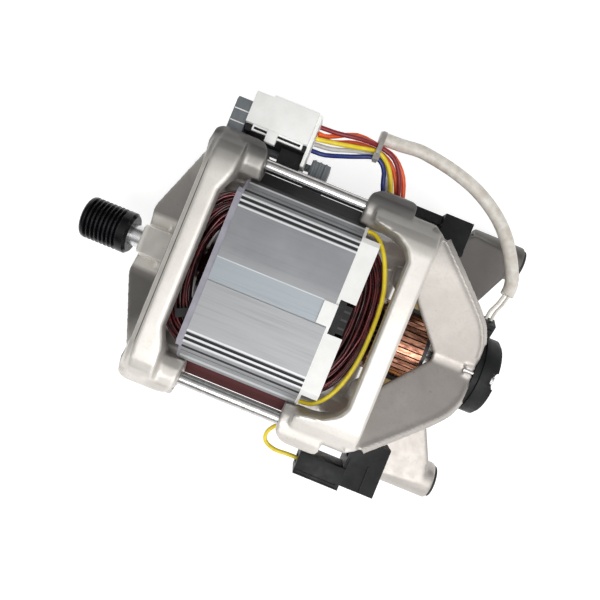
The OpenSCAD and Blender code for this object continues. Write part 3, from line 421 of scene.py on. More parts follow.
def copper_bars():
    """The commutator's copper, drawn along the shaft and browned in patches."""
    s = Surface("copper", stretch=(0.25, 1, 1)).set(Metallic=1.0)
    s.colour(s.mottled(1.2, 4, (0.35, 0.65), (0.15, 0.06, 0.04), (0.58, 0.28, 0.18)))
    s.patchy_roughness(1.5, 0.18, 0.3)
    s.relief(s.noise(0.35, 2), 0.01, 0.5)
    return s.material


def sheet_brass():
    s = Surface("brass_sheet").set(Metallic=1.0)
    s.colour(s.blend(s.noise(3, 4), (0.62, 0.46, 0.20), (0.76, 0.60, 0.32)))
    s.patchy_roughness(2, 0.25, 0.4)
    return s.material


# The attribute in which each strand of a winding keeps its own tone
STRAND_TONE = "strand_tone"


def varnished_wire():
    """Enamelled wire under clear varnish: dark maroon strands, each of its own tone, with wet
    highlights."""
    s = Surface("winding").set(Metallic=0.5, Specular_IOR_Level=0.5, Coat_Weight=0.5, Coat_Roughness=0.06)
    strand = s.nodes.new("ShaderNodeAttribute")
    strand.attribute_name = STRAND_TONE
    tone = s.blend(strand.outputs["Fac"], (0.012, 0.0012, 0.0016), (0.15, 0.015, 0.018))
    s.colour(s.mottled(5, 4, (0.42, 0.68), tone, (0.015, 0.003, 0.003)))
    s.patchy_roughness(1.5, 0.16, 0.28)
    s.relief(s.noise(0.6, 2), 0.03, 0.4)
    return s.material


def natural_nylon():
    """Undyed nylon: greyish and slightly see-through."""
    s = Surface("natural_nylon").set(Transmission_Weight=0.35, Specular_IOR_Level=0.4)
    s.colour(s.mottled(3, 3, (0.35, 0.65), (0.42, 0.40, 0.38), (0.56, 0.54, 0.51)))
    s.patchy_roughness(2, 0.3, 0.45)
    s.relief(s.noise(0.5, 2), 0.02, 0.4)
    return s.material


# Size and depth of a moulding's grain, and how much paler its worn edges are
GRAIN_SIZE = 0.4
GRAIN_DEPTH = 0.02
WORN_GAIN = 1.25
WORN_LIFT = 0.01


def moulding(name, dark, light, rough=(0.35, 0.5), coat=0.0, shine=0.5):
    """A moulded part: two close tones, a fine grain and a slightly worn gloss."""
    s = Surface(name).set(Coat_Weight=coat, Coat_Roughness=0.2, Specular_IOR_Level=shine)
    tone = s.mottled(7, 4, (0.35, 0.68), dark, light)
    worn = tuple(min(1.0, part * WORN_GAIN + WORN_LIFT) for part in light)
    s.colour(s.blend(s.edges(0.25), tone, worn))
    s.patchy_roughness(3, *rough)
    s.relief(s.noise(GRAIN_SIZE, 3), GRAIN_DEPTH, 0.5)
    return s.material


def sheath(name, dark, light):
    """The soft plastic round a wire."""
    s = Surface(name).set(Specular_IOR_Level=0.5)
    s.colour(s.mottled(5, 3, (0.35, 0.68), dark, light))
    s.patchy_roughness(3, 0.28, 0.42)
    s.relief(s.noise(0.8, 2), 0.02, 0.4)
    return s.material


# Dark and light tone of each moulded part's material and of each wire's sheath
MOULDED = {
    "magnet": ((0.05, 0.05, 0.055), (0.09, 0.09, 0.095)),
    "dark_resin": ((0.012, 0.009, 0.008), (0.03, 0.024, 0.02)),
    "black_plastic": ((0.005, 0.005, 0.006), (0.012, 0.013, 0.014)),
    "white_plastic": ((0.86, 0.86, 0.83), (0.92, 0.92, 0.90)),
    "lilac_plastic": ((0.27, 0.26, 0.31), (0.36, 0.35, 0.40)),
    "grey_plastic": ((0.14, 0.155, 0.17), (0.19, 0.21, 0.22)),
    "carbon": ((0.03, 0.03, 0.03), (0.05, 0.05, 0.05)),
    "rubber": ((0.015, 0.015, 0.015), (0.03, 0.03, 0.03)),
}
MOULDED_FINISH = {
    "black_plastic": {"rough": (0.42, 0.58), "shine": 0.28},
    "white_plastic": {"coat": 0.2},
    "rubber": {"rough": (0.6, 0.75)},
}
SHEATHS = {
    "maroon_wire": ((0.20, 0.006, 0.014), (0.26, 0.012, 0.02)),
    "orange_wire": ((0.85, 0.10, 0.018), (0.92, 0.15, 0.03)),
    "yellow_wire": ((0.80, 0.60, 0.015), (0.90, 0.72, 0.04)),
    "white_wire": ((0.55, 0.55, 0.53), (0.66, 0.66, 0.63)),
    "blue_wire": ((0.008, 0.018, 0.14), (0.012, 0.03, 0.20)),
    "clear_sleeve": ((0.62, 0.565, 0.49), (0.80, 0.775, 0.72)),
}

# The material of each slot
MATERIALS = {
    "cast_aluminium": cast_metal(),
    "laminated_steel": stacked_sheets(),
    "plated_steel": plated_steel(),
    "turned_steel": turned_steel("turned_steel"),
    "bearing_steel": polished_steel(),
    "spring_steel": turned_steel("spring_steel"),
    "black_steel": black_steel(),
    "copper": copper_bars(),
    "brass_sheet": sheet_brass(),
    "winding": varnished_wire(),
}
for slot, tones in MOULDED.items():
    MATERIALS[slot] = moulding(slot, *tones, **MOULDED_FINISH.get(slot, {}))
for slot, tones in SHEATHS.items():
    MATERIALS[slot] = sheath(slot, *tones)


def dress_exact_parts():
    """Every exact part gets the material of its slot."""
    for part in frame["record"]["subparts"]:
        exact = bpy.data.objects[part["node"]]
        exact.data.materials.clear()
        exact.data.materials.append(MATERIALS[part["material_slot"]])


dress_exact_parts()


# Helpers that turn curves and exact parts into finished pieces

# Points closer together than this are one point
WELD = 0.002 * MM
# Faces that meet at less than this are one flat face
FLAT_ANGLE = math.radians(1)
# Edges that turn by more than these are rounded, and shaded as sharp
ROUNDED_ANGLE = math.radians(28)
SHARP_ANGLE = math.radians(32)
EDGE_SEGMENTS = 2
# The castings' skin: the size of its cells, rounds of smoothing and the share of faces that stay
CAST_CELL = 0.85 * MM
CAST_ROUNDS = 6
CAST_SMOOTHING = 0.5
CAST_FACES = 0.5


def finish_piece(obj, body, slot, *nodes):
    """A piece rides on its body, takes its slot's material and stands for the exact parts it replaces."""
    if not obj.data.materials:
        obj.data.materials.append(MATERIALS[slot])
    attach(obj, body)
    if nodes:
        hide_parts(*nodes)


def as_plain_mesh(obj, name):
    """The evaluated object as a plain mesh at the origin; the object it came from is removed."""
    graph = bpy.context.evaluated_depsgraph_get()
    mesh = bpy.data.meshes.new_from_object(obj.evaluated_get(graph), depsgraph=graph)
    mesh.name = name
    bpy.data.objects.remove(obj)
    return place_object(name, mesh)


def merged_shape(node, extras=()):
    """A copy of an exact part's shape and of pieces added to it, with doubled points merged."""
    shape = bmesh.new()
    shape.from_mesh(bpy.data.objects[node].data)
    for extra in extras:
        shape.from_mesh(extra.data)
        bpy.data.objects.remove(extra)
    bmesh.ops.remove_doubles(shape, verts=shape.verts, dist=WELD)
    return shape


def object_of(shape, name):
    """An object made of a shape, which is freed."""
    mesh = bpy.data.meshes.new(name)
    shape.to_mesh(mesh)
    shape.free()
    return place_object(name, mesh)


def soften(obj, width_mm):
    """Rounds the edges of an object, and gives the modifier that does it."""
    bevel = obj.modifiers.new("soft edges", "BEVEL")
    bevel.width = width_mm * MM
    bevel.segments = EDGE_SEGMENTS
    return bevel


def soft_edged(node, slot, width_mm):
    """An exact moulding with its sharp edges rounded."""
    shape = merged_shape(node)
    bmesh.ops.dissolve_limit(shape, angle_limit=FLAT_ANGLE, verts=shape.verts, edges=shape.edges)
    copy = object_of(shape, node + "_edges")
    bevel = soften(copy, width_mm)
    bevel.limit_method = "ANGLE"
    bevel.angle_limit = ROUNDED_ANGLE
    plain = as_plain_mesh(copy, node + "_soft")
    plain.data.shade_smooth()
    plain.data.set_sharp_from_angle(angle=SHARP_ANGLE)
    finish_piece(plain, "housing", slot, node)


def casting(node, beads=()):
    """A die-cast part: its exact solid and any added beads in one skin, with every edge and inner
    corner rounded."""
    copy = object_of(merged_shape(node, beads), node + "_cast")
    skin = copy.modifiers.new("skin", "REMESH")
    skin.mode = "VOXEL"
    skin.voxel_size = CAST_CELL
    soft = copy.modifiers.new("rounding", "SMOOTH")
    soft.factor = CAST_SMOOTHING
    soft.iterations = CAST_ROUNDS
    light = copy.modifiers.new("fewer faces", "DECIMATE")
    light.ratio = CAST_FACES
    plain = as_plain_mesh(copy, node + "_casting")
    plain.data.shade_smooth()
    finish_piece(plain, "housing", "cast_aluminium", node)


def smooth_route(points, steps):
    """More points on one smooth curve through the points of a route."""
    ends = [points[0] * 2 - points[1], *points, points[-1] * 2 - points[-2]]
    route = []
    for i in range(1, len(ends) - 2):
        a, b, c, d = ends[i - 1 : i + 3]
        for k in range(steps):
            t = k / steps
            twice = 2 * b + (c - a) * t
            twice = twice + (2 * a - 5 * b + 4 * c - d) * t**2
            twice = twice + (3 * b - a - 3 * c + d) * t**3
            route.append(0.5 * twice)
    return [*route, points[-1]]


def add_line(data, places):
    """Adds a line through places to a curve."""
    spline = data.splines.new("POLY")
    spline.points.add(len(places) - 1)
    for point, place in zip(spline.points, places):
        point.co = (*place, 1)
    return spline


def tube_curve(name, route, radius, slot, roundness=3):
    """A round wire along a route, as a curve of one open spline."""
    data = bpy.data.curves.new(name, "CURVE")
    data.dimensions = "3D"
    data.bevel_depth = radius
    data.bevel_resolution = roundness
    data.use_fill_caps = True
    add_line(data, route).use_smooth = True
    data.materials.append(MATERIALS[slot])
    return place_object(name, data)


# Trees of geometry nodes


def new_tree(name, inputs, output):
    """An empty tree with named inputs and one output of geometry."""
    tree = bpy.data.node_groups.new(name, "GeometryNodeTree")
    for label, kind in inputs.items():
        tree.interface.new_socket(label, in_out="INPUT", socket_type="NodeSocket" + kind)
    tree.interface.new_socket(output, in_out="OUTPUT", socket_type="NodeSocketGeometry")
    return tree


def grow(obj, tree, values):
    """Puts a tree on an object, with values for its named inputs."""
    modifier = obj.modifiers.new(tree.name, "NODES")
    modifier.node_group = tree
    for item in tree.interface.items_tree:
        if item.in_out == "INPUT" and item.name in values:
            modifier[item.identifier] = values[item.name]


# How far apart the strands lie in the noise that moves them, so that each has waves of its own
PHASE_SPREAD = 40.0


def strand_tree():
    """Turns centre lines into loose strands of wire, each with its own waves and its own tone."""
    inputs = {
        "Lines": "Geometry",
        "Wire radius": "Float",
        "Sides": "Int",
        "Looseness": "Float",
        "Wave length": "Float",
        "Seed": "Int",
        "Varnish": "Material",
    }
    tree = new_tree("wound_strands", inputs, "Strands")

    def node(kind, **values):
        made = tree.nodes.new(kind)
        for label, value in values.items():
            made.inputs[label.replace("_", " ")].default_value = value
        return made

    def link(source, target):
        tree.links.new(source, target)

    source = node("NodeGroupInput")
    waves = node("ShaderNodeTexNoise", Detail=1.0)
    waves.noise_dimensions = "4D"
    place = node("GeometryNodeInputPosition")
    scale = maths(tree, "DIVIDE", 1.0, source.outputs["Wave length"])
    link(scale, waves.inputs["Scale"])
    link(place.outputs[0], waves.inputs["Vector"])
    own = node("FunctionNodeRandomValue")
    own.data_type = "FLOAT"
    random_out = next(s for s in own.outputs if s.enabled)
    index = node("GeometryNodeInputIndex")
    each = node("GeometryNodeFieldOnDomain")
    each.domain = "CURVE"
    each.data_type = "INT"
    link(index.outputs[0], each.inputs[0])
    link(each.outputs[0], own.inputs["ID"])
    link(source.outputs["Seed"], own.inputs["Seed"])
    link(maths(tree, "MULTIPLY", random_out, PHASE_SPREAD), waves.inputs["W"])
    centred = node("ShaderNodeVectorMath")
    centred.operation = "SUBTRACT"
    centred.inputs[1].default_value = (0.5, 0.5, 0.5)
    link(waves.outputs["Color"], centred.inputs[0])
    loose = node("ShaderNodeVectorMath")
    loose.operation = "SCALE"
    link(centred.outputs[0], loose.inputs[0])
    link(source.outputs["Looseness"], loose.inputs["Scale"])
    move = node("GeometryNodeSetPosition")
    link(source.outputs["Lines"], move.inputs["Geometry"])
    link(loose.outputs[0], move.inputs["Offset"])
    tone = node("GeometryNodeStoreNamedAttribute", Name=STRAND_TONE)
    tone.data_type = "FLOAT"
    tone.domain = "POINT"
    link(move.outputs[0], tone.inputs["Geometry"])
    link(random_out, tone.inputs["Value"])
    ring = node("GeometryNodeCurvePrimitiveCircle")
    link(source.outputs["Sides"], ring.inputs["Resolution"])
    link(source.outputs["Wire radius"], ring.inputs["Radius"])
    skin = node("GeometryNodeCurveToMesh", Fill_Caps=True)
    link(tone.outputs[0], skin.inputs["Curve"])
    link(ring.outputs[0], skin.inputs["Profile Curve"])
    smooth = node("GeometryNodeSetShadeSmooth")
    link(skin.outputs[0], smooth.inputs[0])
    real = node("GeometryNodeRealizeInstances")
    link(smooth.outputs[0], real.inputs[0])
    paint = node("GeometryNodeSetMaterial")
    link(real.outputs[0], paint.inputs["Geometry"])
    link(source.outputs["Varnish"], paint.inputs["Material"])
    target = node("NodeGroupOutput")
    link(paint.outputs[0], target.inputs["Strands"])
    return tree


STRANDS = strand_tree()

# Waves of the strands in a winding, and the number of sides of each strand
WAVE_LENGTH = 12 * MM
STRAND_SIDES = 6


def wound(name, body, lines, radius_mm, looseness_mm, seed, closed, replaced=()):
    """A winding: strands along centre lines, as one piece. Closed lines are whole turns."""
    data = bpy.data.curves.new(name + "_lines", "CURVE")
    data.dimensions = "3D"
    for line in lines:
        add_line(data, line).use_cyclic_u = closed
    obj = place_object(name + "_lines", data)
    values = {
        "Wire radius": radius_mm * MM,
        "Sides": STRAND_SIDES,
        "Looseness": looseness_mm * MM,
        "Wave length": WAVE_LENGTH,
        "Seed": seed,
        "Varnish": MATERIALS["winding"],
    }
    grow(obj, STRANDS, values)
    finish_piece(as_plain_mesh(obj, name), body, "winding", *replaced)


# Field coils: turns of wire that fill the exact coil's section, in millimetres. The innermost turn is a
# boxy oval that reaches past the stack's ends, and the section runs outwards and upwards from it.
COIL_REACH = 10
COIL_HALF_W = 30
COIL_BOW = 0.35
COIL_Z = 24.35
COIL_ACROSS = 12.6
COIL_HIGH = 9.85
COIL_WIRE = 1.75
COIL_PITCH = COIL_WIRE * 0.97
COIL_STEPS = 88
# How far a turn strays from its row, as a share of the pitch, and how far it wanders on its way round
COIL_UNEVEN = 0.25
COIL_DRIFT = 1.0
COIL_LOOSENESS = 1.5
# The turns in the two outer layers are all made, and this share of those in the third
COIL_THIRD_LAYER = 0.25
COIL_SEED = 5
COIL_WAVE_SEED = 3


def coil_line(across, high, drift):
    """One turn of a field coil at a place in its section, measured from its inner lower corner. Its drift
    makes slow waves on the way round, which start elsewhere in each turn."""
    line = []
    for k in range(COIL_STEPS):
        angle = math.tau * k / COIL_STEPS
        cosine = math.cos(angle)
        wide = across + drift * math.sin(angle * 2 + drift * 7)
        x = (STACK_HALF / MM + COIL_REACH + wide) * math.copysign(abs(cosine) ** COIL_BOW, cosine)
        y = (COIL_HALF_W + wide) * math.sin(angle)
        z = COIL_Z + high + drift * math.cos(angle * 3 + drift * 5)
        line.append((x, y, z))
    return line


def field_coil(node, side):
    """The strands of one coil, above the shaft for side 1 and below it for side -1."""
    dice = random.Random(COIL_SEED + side)
    lines = []
    rows = int(COIL_ACROSS / COIL_PITCH)
    layers = int(COIL_HIGH / COIL_PITCH)
    for i in range(rows):
        for j in range(layers):
            depth = min(i, j, rows - 1 - i, layers - 1 - j)
            if depth > 1 and not (depth == 2 and dice.random() < COIL_THIRD_LAYER):
                continue
            across = (i + 0.5 + dice.uniform(-COIL_UNEVEN, COIL_UNEVEN)) * COIL_PITCH
            high = (j + 0.5 + dice.uniform(-COIL_UNEVEN, COIL_UNEVEN)) * COIL_PITCH
            line = coil_line(across, high, dice.uniform(-COIL_DRIFT, COIL_DRIFT))
            lines.append(at_stack([(x, y, z * side) for x, y, z in line]))
    wound(
        node + "_strands",
        "housing",
        lines,
        COIL_WIRE / 2,
        COIL_LOOSENESS,
        COIL_WAVE_SEED + side,
        closed=True,
        replaced=[node],
    )


# Armature ends: wires that run from slot to slot round the shaft, in an arch that bows more the smaller
# its bow, and swells a little where it doesn't reach far
SLOTS = 12
STRANDS_PER_SLOT = 14
SLOTS_SPANNED = 5
SLOT_R = 22.3
END_WIRE_R = 0.45
END_LOOSENESS = 0.5
END_STEPS = 18
END_BOW = 0.6
END_SWELL = 1.2
# How far a strand starts from its slot's middle, in slots, and its share of the whole reach
END_UNEVEN = 0.25
END_REACH = (0.35, 1.0)
# Each end: its way along the shaft, its reach past the stack, the radius of its nose and its seed
ARMATURE_ENDS = {
    "armature_front_strands": (-1, 12, 12.5, 11),
    "armature_rear_strands": (1, 19, 17.0, 12),
}


def armature_end(name, way, reach_mm, nose_r, seed):
    """The strands at one end, which reach out along the shaft one way and close in to a nose."""
    dice = random.Random(seed)
    lines = []
    for number in range(SLOTS):
        for _ in range(STRANDS_PER_SLOT):
            start = math.tau * (number + dice.uniform(-END_UNEVEN, END_UNEVEN)) / SLOTS
            span = math.tau * SLOTS_SPANNED / SLOTS
            reach = dice.uniform(*END_REACH)
            line = []
            for k in range(END_STEPS + 1):
                t = k / END_STEPS
                arch = math.sin(math.pi * t) ** END_BOW
                swell = END_SWELL * math.sin(math.pi * t) * (1 - reach)
                x = way * (STACK_HALF / MM + reach_mm * reach * arch)
                r = SLOT_R - (SLOT_R - nose_r) * arch * reach + swell
                angle = start + span * t
                line.append((x, r * math.cos(angle), r * math.sin(angle)))
            lines.append(at_stack(line))
    wound(name, "rotor", lines, END_WIRE_R, END_LOOSENESS, seed, closed=False)


field_coil("field_coil_near", 1)
field_coil("field_coil_far", -1)
for name, end in ARMATURE_ENDS.items():
    armature_end(name, *end)


# Mouldings with softly rounded edges: the slot of each and the width of its rounding in millimetres
SOFT_MOULDINGS = {
    "terminal_plug": ("white_plastic", 0.35),
    "upper_brush_holder": ("black_plastic", 0.3),
    "lower_brush_holder": ("black_plastic", 0.3),
    "terminal_holder": ("grey_plastic", 0.35),
    "tacho_cover": ("black_plastic", 0.3),
}

for node, (slot, width) in SOFT_MOULDINGS.items():
    soft_edged(node, slot, width)


# Raised beads and lips along the free edges of the rear bracket's cast walls, which slope away from the
# shaft: their rise, their inner edge (y, z) and their free edge (x, y) seen from above
WALL_RISE = 0.497
REAR_WALL = (2.0, 17.5)
REAR_WING_EDGE = ((67, 53.2), (82, 41.2), (97.8, 28.0), (103.6, 21.8), (107.9, 14), (109.3, 7.5))
# The bead lies on the wall's edge, and the lip below it and a step outside it
BEAD_R = 0.95
BEAD_SUNK = 0.1
LIP_R = 1.1
LIP_DROP = 3.0
LIP_STEP = (1.6, 1.4)


def mirrored_beads(name, line, sunk, radius_mm):
    """A bead along a line seen from above, in all four quarters, sunk into the sloping wall."""
    wall_y, wall_z = REAR_WALL
    made = []
    for y_side in (1, -1):
        for z_side in (1, -1):
            edge = []
            for x, y in line:
                height = wall_z + (y - wall_y) * WALL_RISE - sunk
                edge.append((x, y * y_side, height * z_side))
            route = smooth_route(at_stack(edge), steps=4)
            bead = tube_curve(name, route, radius_mm * MM, "cast_aluminium")
            made.append(as_plain_mesh(bead, name))
    return made


def dress_castings():
    lip_line = [(x + LIP_STEP[0], y + LIP_STEP[1]) for x, y in REAR_WING_EDGE[:-1]]
    beads = mirrored_beads("wing_bead", REAR_WING_EDGE, BEAD_SUNK, BEAD_R)
    lips = mirrored_beads("wing_lip", lip_line, BEAD_SUNK + LIP_DROP, LIP_R)
    casting("rear_bracket", beads + lips)
    casting("front_bracket")


dress_castings()


# Rows of small bars: ribs, ridges and slots on the mouldings


def bar_tree():
    """Puts equal bars at equal steps."""
    inputs = {
        "Count": "Int",
        "First": "Vector",
        "Step": "Vector",
        "Size": "Vector",
        "Finish": "Material",
    }
    tree = new_tree("bar_row", inputs, "Bars")
    source = tree.nodes.new("NodeGroupInput")
    places = tree.nodes.new("GeometryNodeMeshLine")
    places.mode = "OFFSET"
    bar = tree.nodes.new("GeometryNodeMeshCube")
    copies = tree.nodes.new("GeometryNodeInstanceOnPoints")
    real = tree.nodes.new("GeometryNodeRealizeInstances")
    paint = tree.nodes.new("GeometryNodeSetMaterial")
    target = tree.nodes.new("NodeGroupOutput")
    for start, end in (
        (source.outputs["Count"], places.inputs["Count"]),
        (source.outputs["First"], places.inputs["Start Location"]),
        (source.outputs["Step"], places.inputs["Offset"]),
        (source.outputs["Size"], bar.inputs["Size"]),
        (places.outputs["Mesh"], copies.inputs["Points"]),
        (bar.outputs["Mesh"], copies.inputs["Instance"]),
        (copies.outputs["Instances"], real.inputs["Geometry"]),
        (real.outputs["Geometry"], paint.inputs["Geometry"]),
        (source.outputs["Finish"], paint.inputs["Material"]),
        (paint.outputs["Geometry"], target.inputs["Bars"]),
    ):
        tree.links.new(start, end)
    return tree


BARS = bar_tree()

# Bars are rounded by this share of their least measure
BAR_SOFTNESS = 0.3
# Tops of the mouldings that carry the bars
STOP_TOP = 26
PLUG_STRIP_TOP = 32
HOLDER_TOP = 12
TERMINAL_TOP = 14
PROTECTOR_TOP = 43.5
# Each row: its slot, the middle of its first bar, the step to the next, the number of bars and their size
BAR_ROWS = {
    "stop_ribs": ("white_plastic", (-49, 78.3, STOP_TOP), (0, -6.3, 0), 2, (7.6, 0.6, 0.7)),
    "plug_slot": ("black_plastic", (-26.8, 70.9, PLUG_STRIP_TOP), (0, 1, 0), 1, (24.4, 1.2, 0.3)),
    "holder_ridges": ("black_plastic", (69.6, -73.5, HOLDER_TOP), (10.6, 0, 0), 2, (0.9, 14.6, 0.9)),
    "terminal_lip": ("black_plastic", (56, -81.3, TERMINAL_TOP), (0, -1.7, 0), 2, (23.2, 0.6, 0.7)),
    "protector_slots": ("dark_resin", (36.6, -4.2, PROTECTOR_TOP), (0, 4.2, 0), 3, (3.4, 1.1, 0.4)),
}


def bar_row(name, slot, first, step, count, size):
    """A row of equal bars with softened edges."""
    obj = place_object(name + "_base", bpy.data.meshes.new(name + "_base"))
    values = {
        "Count": count,
        "First": tuple(at_stack([first])[0]),
        "Step": tuple(Vector(step) * MM),
        "Size": tuple(Vector(size) * MM),
        "Finish": MATERIALS[slot],
    }
    grow(obj, BARS, values)
    soften(obj, min(size) * BAR_SOFTNESS)
    finish_piece(as_plain_mesh(obj, name), "housing", slot)


for name, row in BAR_ROWS.items():
    bar_row(name, *row)


# The tie round the wires and the sleeve: the middle (y, z) and radius of each bundle, and the head
TIE_X = 22.0
TIE_WIDTH = 2.5
TIE_THICK = 1.0
TIE_WIRES = (86.0, 19.4)
TIE_WIRES_R = 5.3
TIE_SLEEVE = (93.5, 17.6)
TIE_SLEEVE_R = 4.3
TIE_STEPS = 24
TIE_HEAD = (TIE_X, TIE_WIRES[0] - 3.6, TIE_WIRES[1] + 4.4)
TIE_HEAD_SIZE = (3.4, 3.0, 2.8)
TIE_SOFTNESS = 0.25


def tie_loop():
    """Places round the two bundles, as (y, z, outward y, outward z)."""
    along = Vector((TIE_SLEEVE[0] - TIE_WIRES[0], TIE_SLEEVE[1] - TIE_WIRES[1]))
    heading = math.atan2(along.y, along.x)
    loop = []
    lean = math.asin((TIE_WIRES_R - TIE_SLEEVE_R) / along.length)
    small_arc, large_arc = math.pi - 2 * lean, math.pi + 2 * lean
    for (y, z), radius, start, arc in (
        (TIE_SLEEVE, TIE_SLEEVE_R, -small_arc / 2, small_arc),
        (TIE_WIRES, TIE_WIRES_R, small_arc / 2, large_arc),
    ):
        for k in range(TIE_STEPS + 1):
            angle = heading + start + arc * k / TIE_STEPS
            out = (math.cos(angle), math.sin(angle))
            loop.append((y + radius * out[0], z + radius * out[1], *out))
    return loop


def dress_tie():
    """A flat band round both bundles, with its head on the wires' side."""
    shape = bmesh.new()
    rings = []
    for y, z, out_y, out_z in tie_loop():
        corners = []
        for side, sunk in ((-1, 0), (1, 0), (1, 1), (-1, 1)):
            inward = sunk * TIE_THICK
            place = (TIE_X + side * TIE_WIDTH / 2, y - inward * out_y, z - inward * out_z)
            corners.append(shape.verts.new(at_stack([place])[0]))
        rings.append(corners)
    for i, ring in enumerate(rings):
        following = rings[(i + 1) % len(rings)]
        for k in range(4):
            shape.faces.new((ring[k], ring[(k + 1) % 4], following[(k + 1) % 4], following[k]))
    head = at_stack([TIE_HEAD])[0]
    made = bmesh.ops.create_cube(shape, size=1.0)
    for vert in made["verts"]:
        vert.co = head + Vector([part * size for part, size in zip(vert.co, TIE_HEAD_SIZE)]) * MM
    bmesh.ops.recalc_face_normals(shape, faces=shape.faces)
    obj = object_of(shape, "cable_tie_base")
    soften(obj, TIE_SOFTNESS)
    plain = as_plain_mesh(obj, "cable_tie_band")
    plain.data.materials.append(natural_nylon())
    finish_piece(plain, "housing", "white_plastic", "cable_tie")


dress_tie()


# Wires and the sleeve, along the same points as the exact part's routes, from the middle of the stack
WIRE_R = 1.2 * MM
LEAD_R = 1.1 * MM
SLEEVE_R = 3.5 * MM
SENSOR_LEAD_R = 0.8 * MM

ROUTES = {
    "wire_maroon": [
        (-9.2, 85, 26), (0, 85.5, 26), (12, 87.5, 25), (22, 88.5, 21.2), (31, 86, 20), (37, 79, 18),
        (41, 69, 14), (42.5, 60, 10), (42, 53.2, 9),
    ],
    "wire_orange_high": [
        (-9.2, 82, 25), (-4, 83, 23), (9, 90, 20), (22, 89.3, 18.8), (31.5, 87.5, 16.5),
        (39.5, 80, 14.5), (44, 69, 11), (45.3, 60, 6), (44.8, 53.2, 5.5),
    ],
    "wire_orange_low": [
        (-9.2, 81.5, 20), (-1, 82, 20), (10, 86.5, 18.5), (22, 87, 17.6), (30.5, 84, 16),
        (36.5, 77, 14.5), (40.5, 68, 10), (41.6, 60, 5.5), (41, 53.2, 4.5),
    ],
    "wire_yellow": [
        (-9.2, 78.5, 27), (0, 80, 27), (12, 83, 25), (22, 85.9, 20.6), (29, 82, 20), (34, 75, 18),
        (37.5, 67, 14), (39, 60, 10.5), (38.5, 53.2, 9.5),
    ],
    "wire_white": [
        (-9.2, 77, 22), (0, 78, 22), (11, 82, 20.5), (22, 84.4, 18.2), (28.5, 80.5, 16.5),
        (33, 74, 15), (36.5, 66, 10), (37.8, 59.5, 5.5), (37.3, 53.2, 4.5),
    ],
    "wire_blue": [
        (-9.2, 73, 24), (-2, 73.5, 24), (10, 78.6, 20), (22, 82.8, 20.3), (28, 79.5, 19),
        (30.8, 72, 18), (34, 65.5, 14), (35.2, 59.5, 10), (34.8, 53.2, 9),
    ],
    "tacho_sleeve": [
        (20, 94, 17.3), (32.5, 94.6, 17), (42, 95.5, 17), (52.6, 94.3, 17), (62.8, 92.3, 17),
        (73.7, 89, 17), (82.6, 84.8, 17), (91.5, 79, 17), (98.9, 72, 17), (105.1, 63.5, 17),
        (110, 54.3, 17), (111.6, 48.5, 17), (111.4, 43.5, 17),
    ],
    "field_lead": [
        (31.9, 44.8, 33), (36, 44.2, 34), (41, 39.5, 36.5), (46, 30, 38.2), (50.5, 15, 38.5),
        (51.2, -8, 38.5), (49, -24, 38.2), (44.5, -36, 37), (38.5, -43, 35), (31.9, -44.8, 33),
    ],
    "brush_lead": [
        (32.8, -50.5, 15), (34, -56.5, 15.5), (27, -64, 13), (24, -70, 8), (25, -75.5, 4.5),
        (31, -78, 4.5), (39, -77.7, 4.5), (49.8, -77.5, 4.5),
    ],
}
# Radius and slot of each wire
WIRE_KINDS = {
    "wire_maroon": (WIRE_R, "maroon_wire"),
    "wire_orange_high": (WIRE_R, "orange_wire"),
    "wire_orange_low": (WIRE_R, "orange_wire"),
    "wire_yellow": (WIRE_R, "yellow_wire"),
    "wire_white": (WIRE_R, "white_wire"),
    "wire_blue": (WIRE_R, "blue_wire"),
    "tacho_sleeve": (SLEEVE_R, "clear_sleeve"),
    "field_lead": (LEAD_R, "yellow_wire"),
    "brush_lead": (LEAD_R, "yellow_wire"),
}


# The short ends that come out of the sleeve, too short to move
SENSOR_LEADS = (
    [(112.6, 43.3, 17), (111.3, 38, 16.8), (109.6, 33, 16.3), (109.3, 28.6, 15.5)],
    [(110.2, 43.3, 17), (108.8, 38, 16.8), (106.8, 33, 16.3), (106.5, 28.6, 15.5)],
)


def lay_sensor_leads():
    for number, points in enumerate(SENSOR_LEADS):
        route = smooth_route(at_stack(points), steps=4)
        lead = tube_curve("sensor_lead", route, SENSOR_LEAD_R, "clear_sleeve")
        short_end = as_plain_mesh(lead, "sensor_lead_%d" % number)
        finish_piece(short_end, "housing", "clear_sleeve", "sensor_leads")


def lay_wires():
    for node, points in ROUTES.items():
        radius, slot = WIRE_KINDS[node]
        route = smooth_route(at_stack(points), steps=3)
        wire = tube_curve(node + "_run", route, radius, slot, roundness=4)
        finish_piece(wire, "housing", slot, node)


lay_wires()
lay_sensor_leads()


# Floor, lamps, room and camera

# The floor's width in metres, far past what the camera sees, and its gap to the motor
FLOOR_SIZE = 60
FLOOR_GAP = 0.2 * MM
FLOOR_GREY = (0.62, 0.62, 0.62, 1)
FLOOR_ROUGHNESS = 0.9
# What the camera sees added to the floor's own grey, so that it looks white and keeps the shadow
FLOOR_LIFT = 0.66


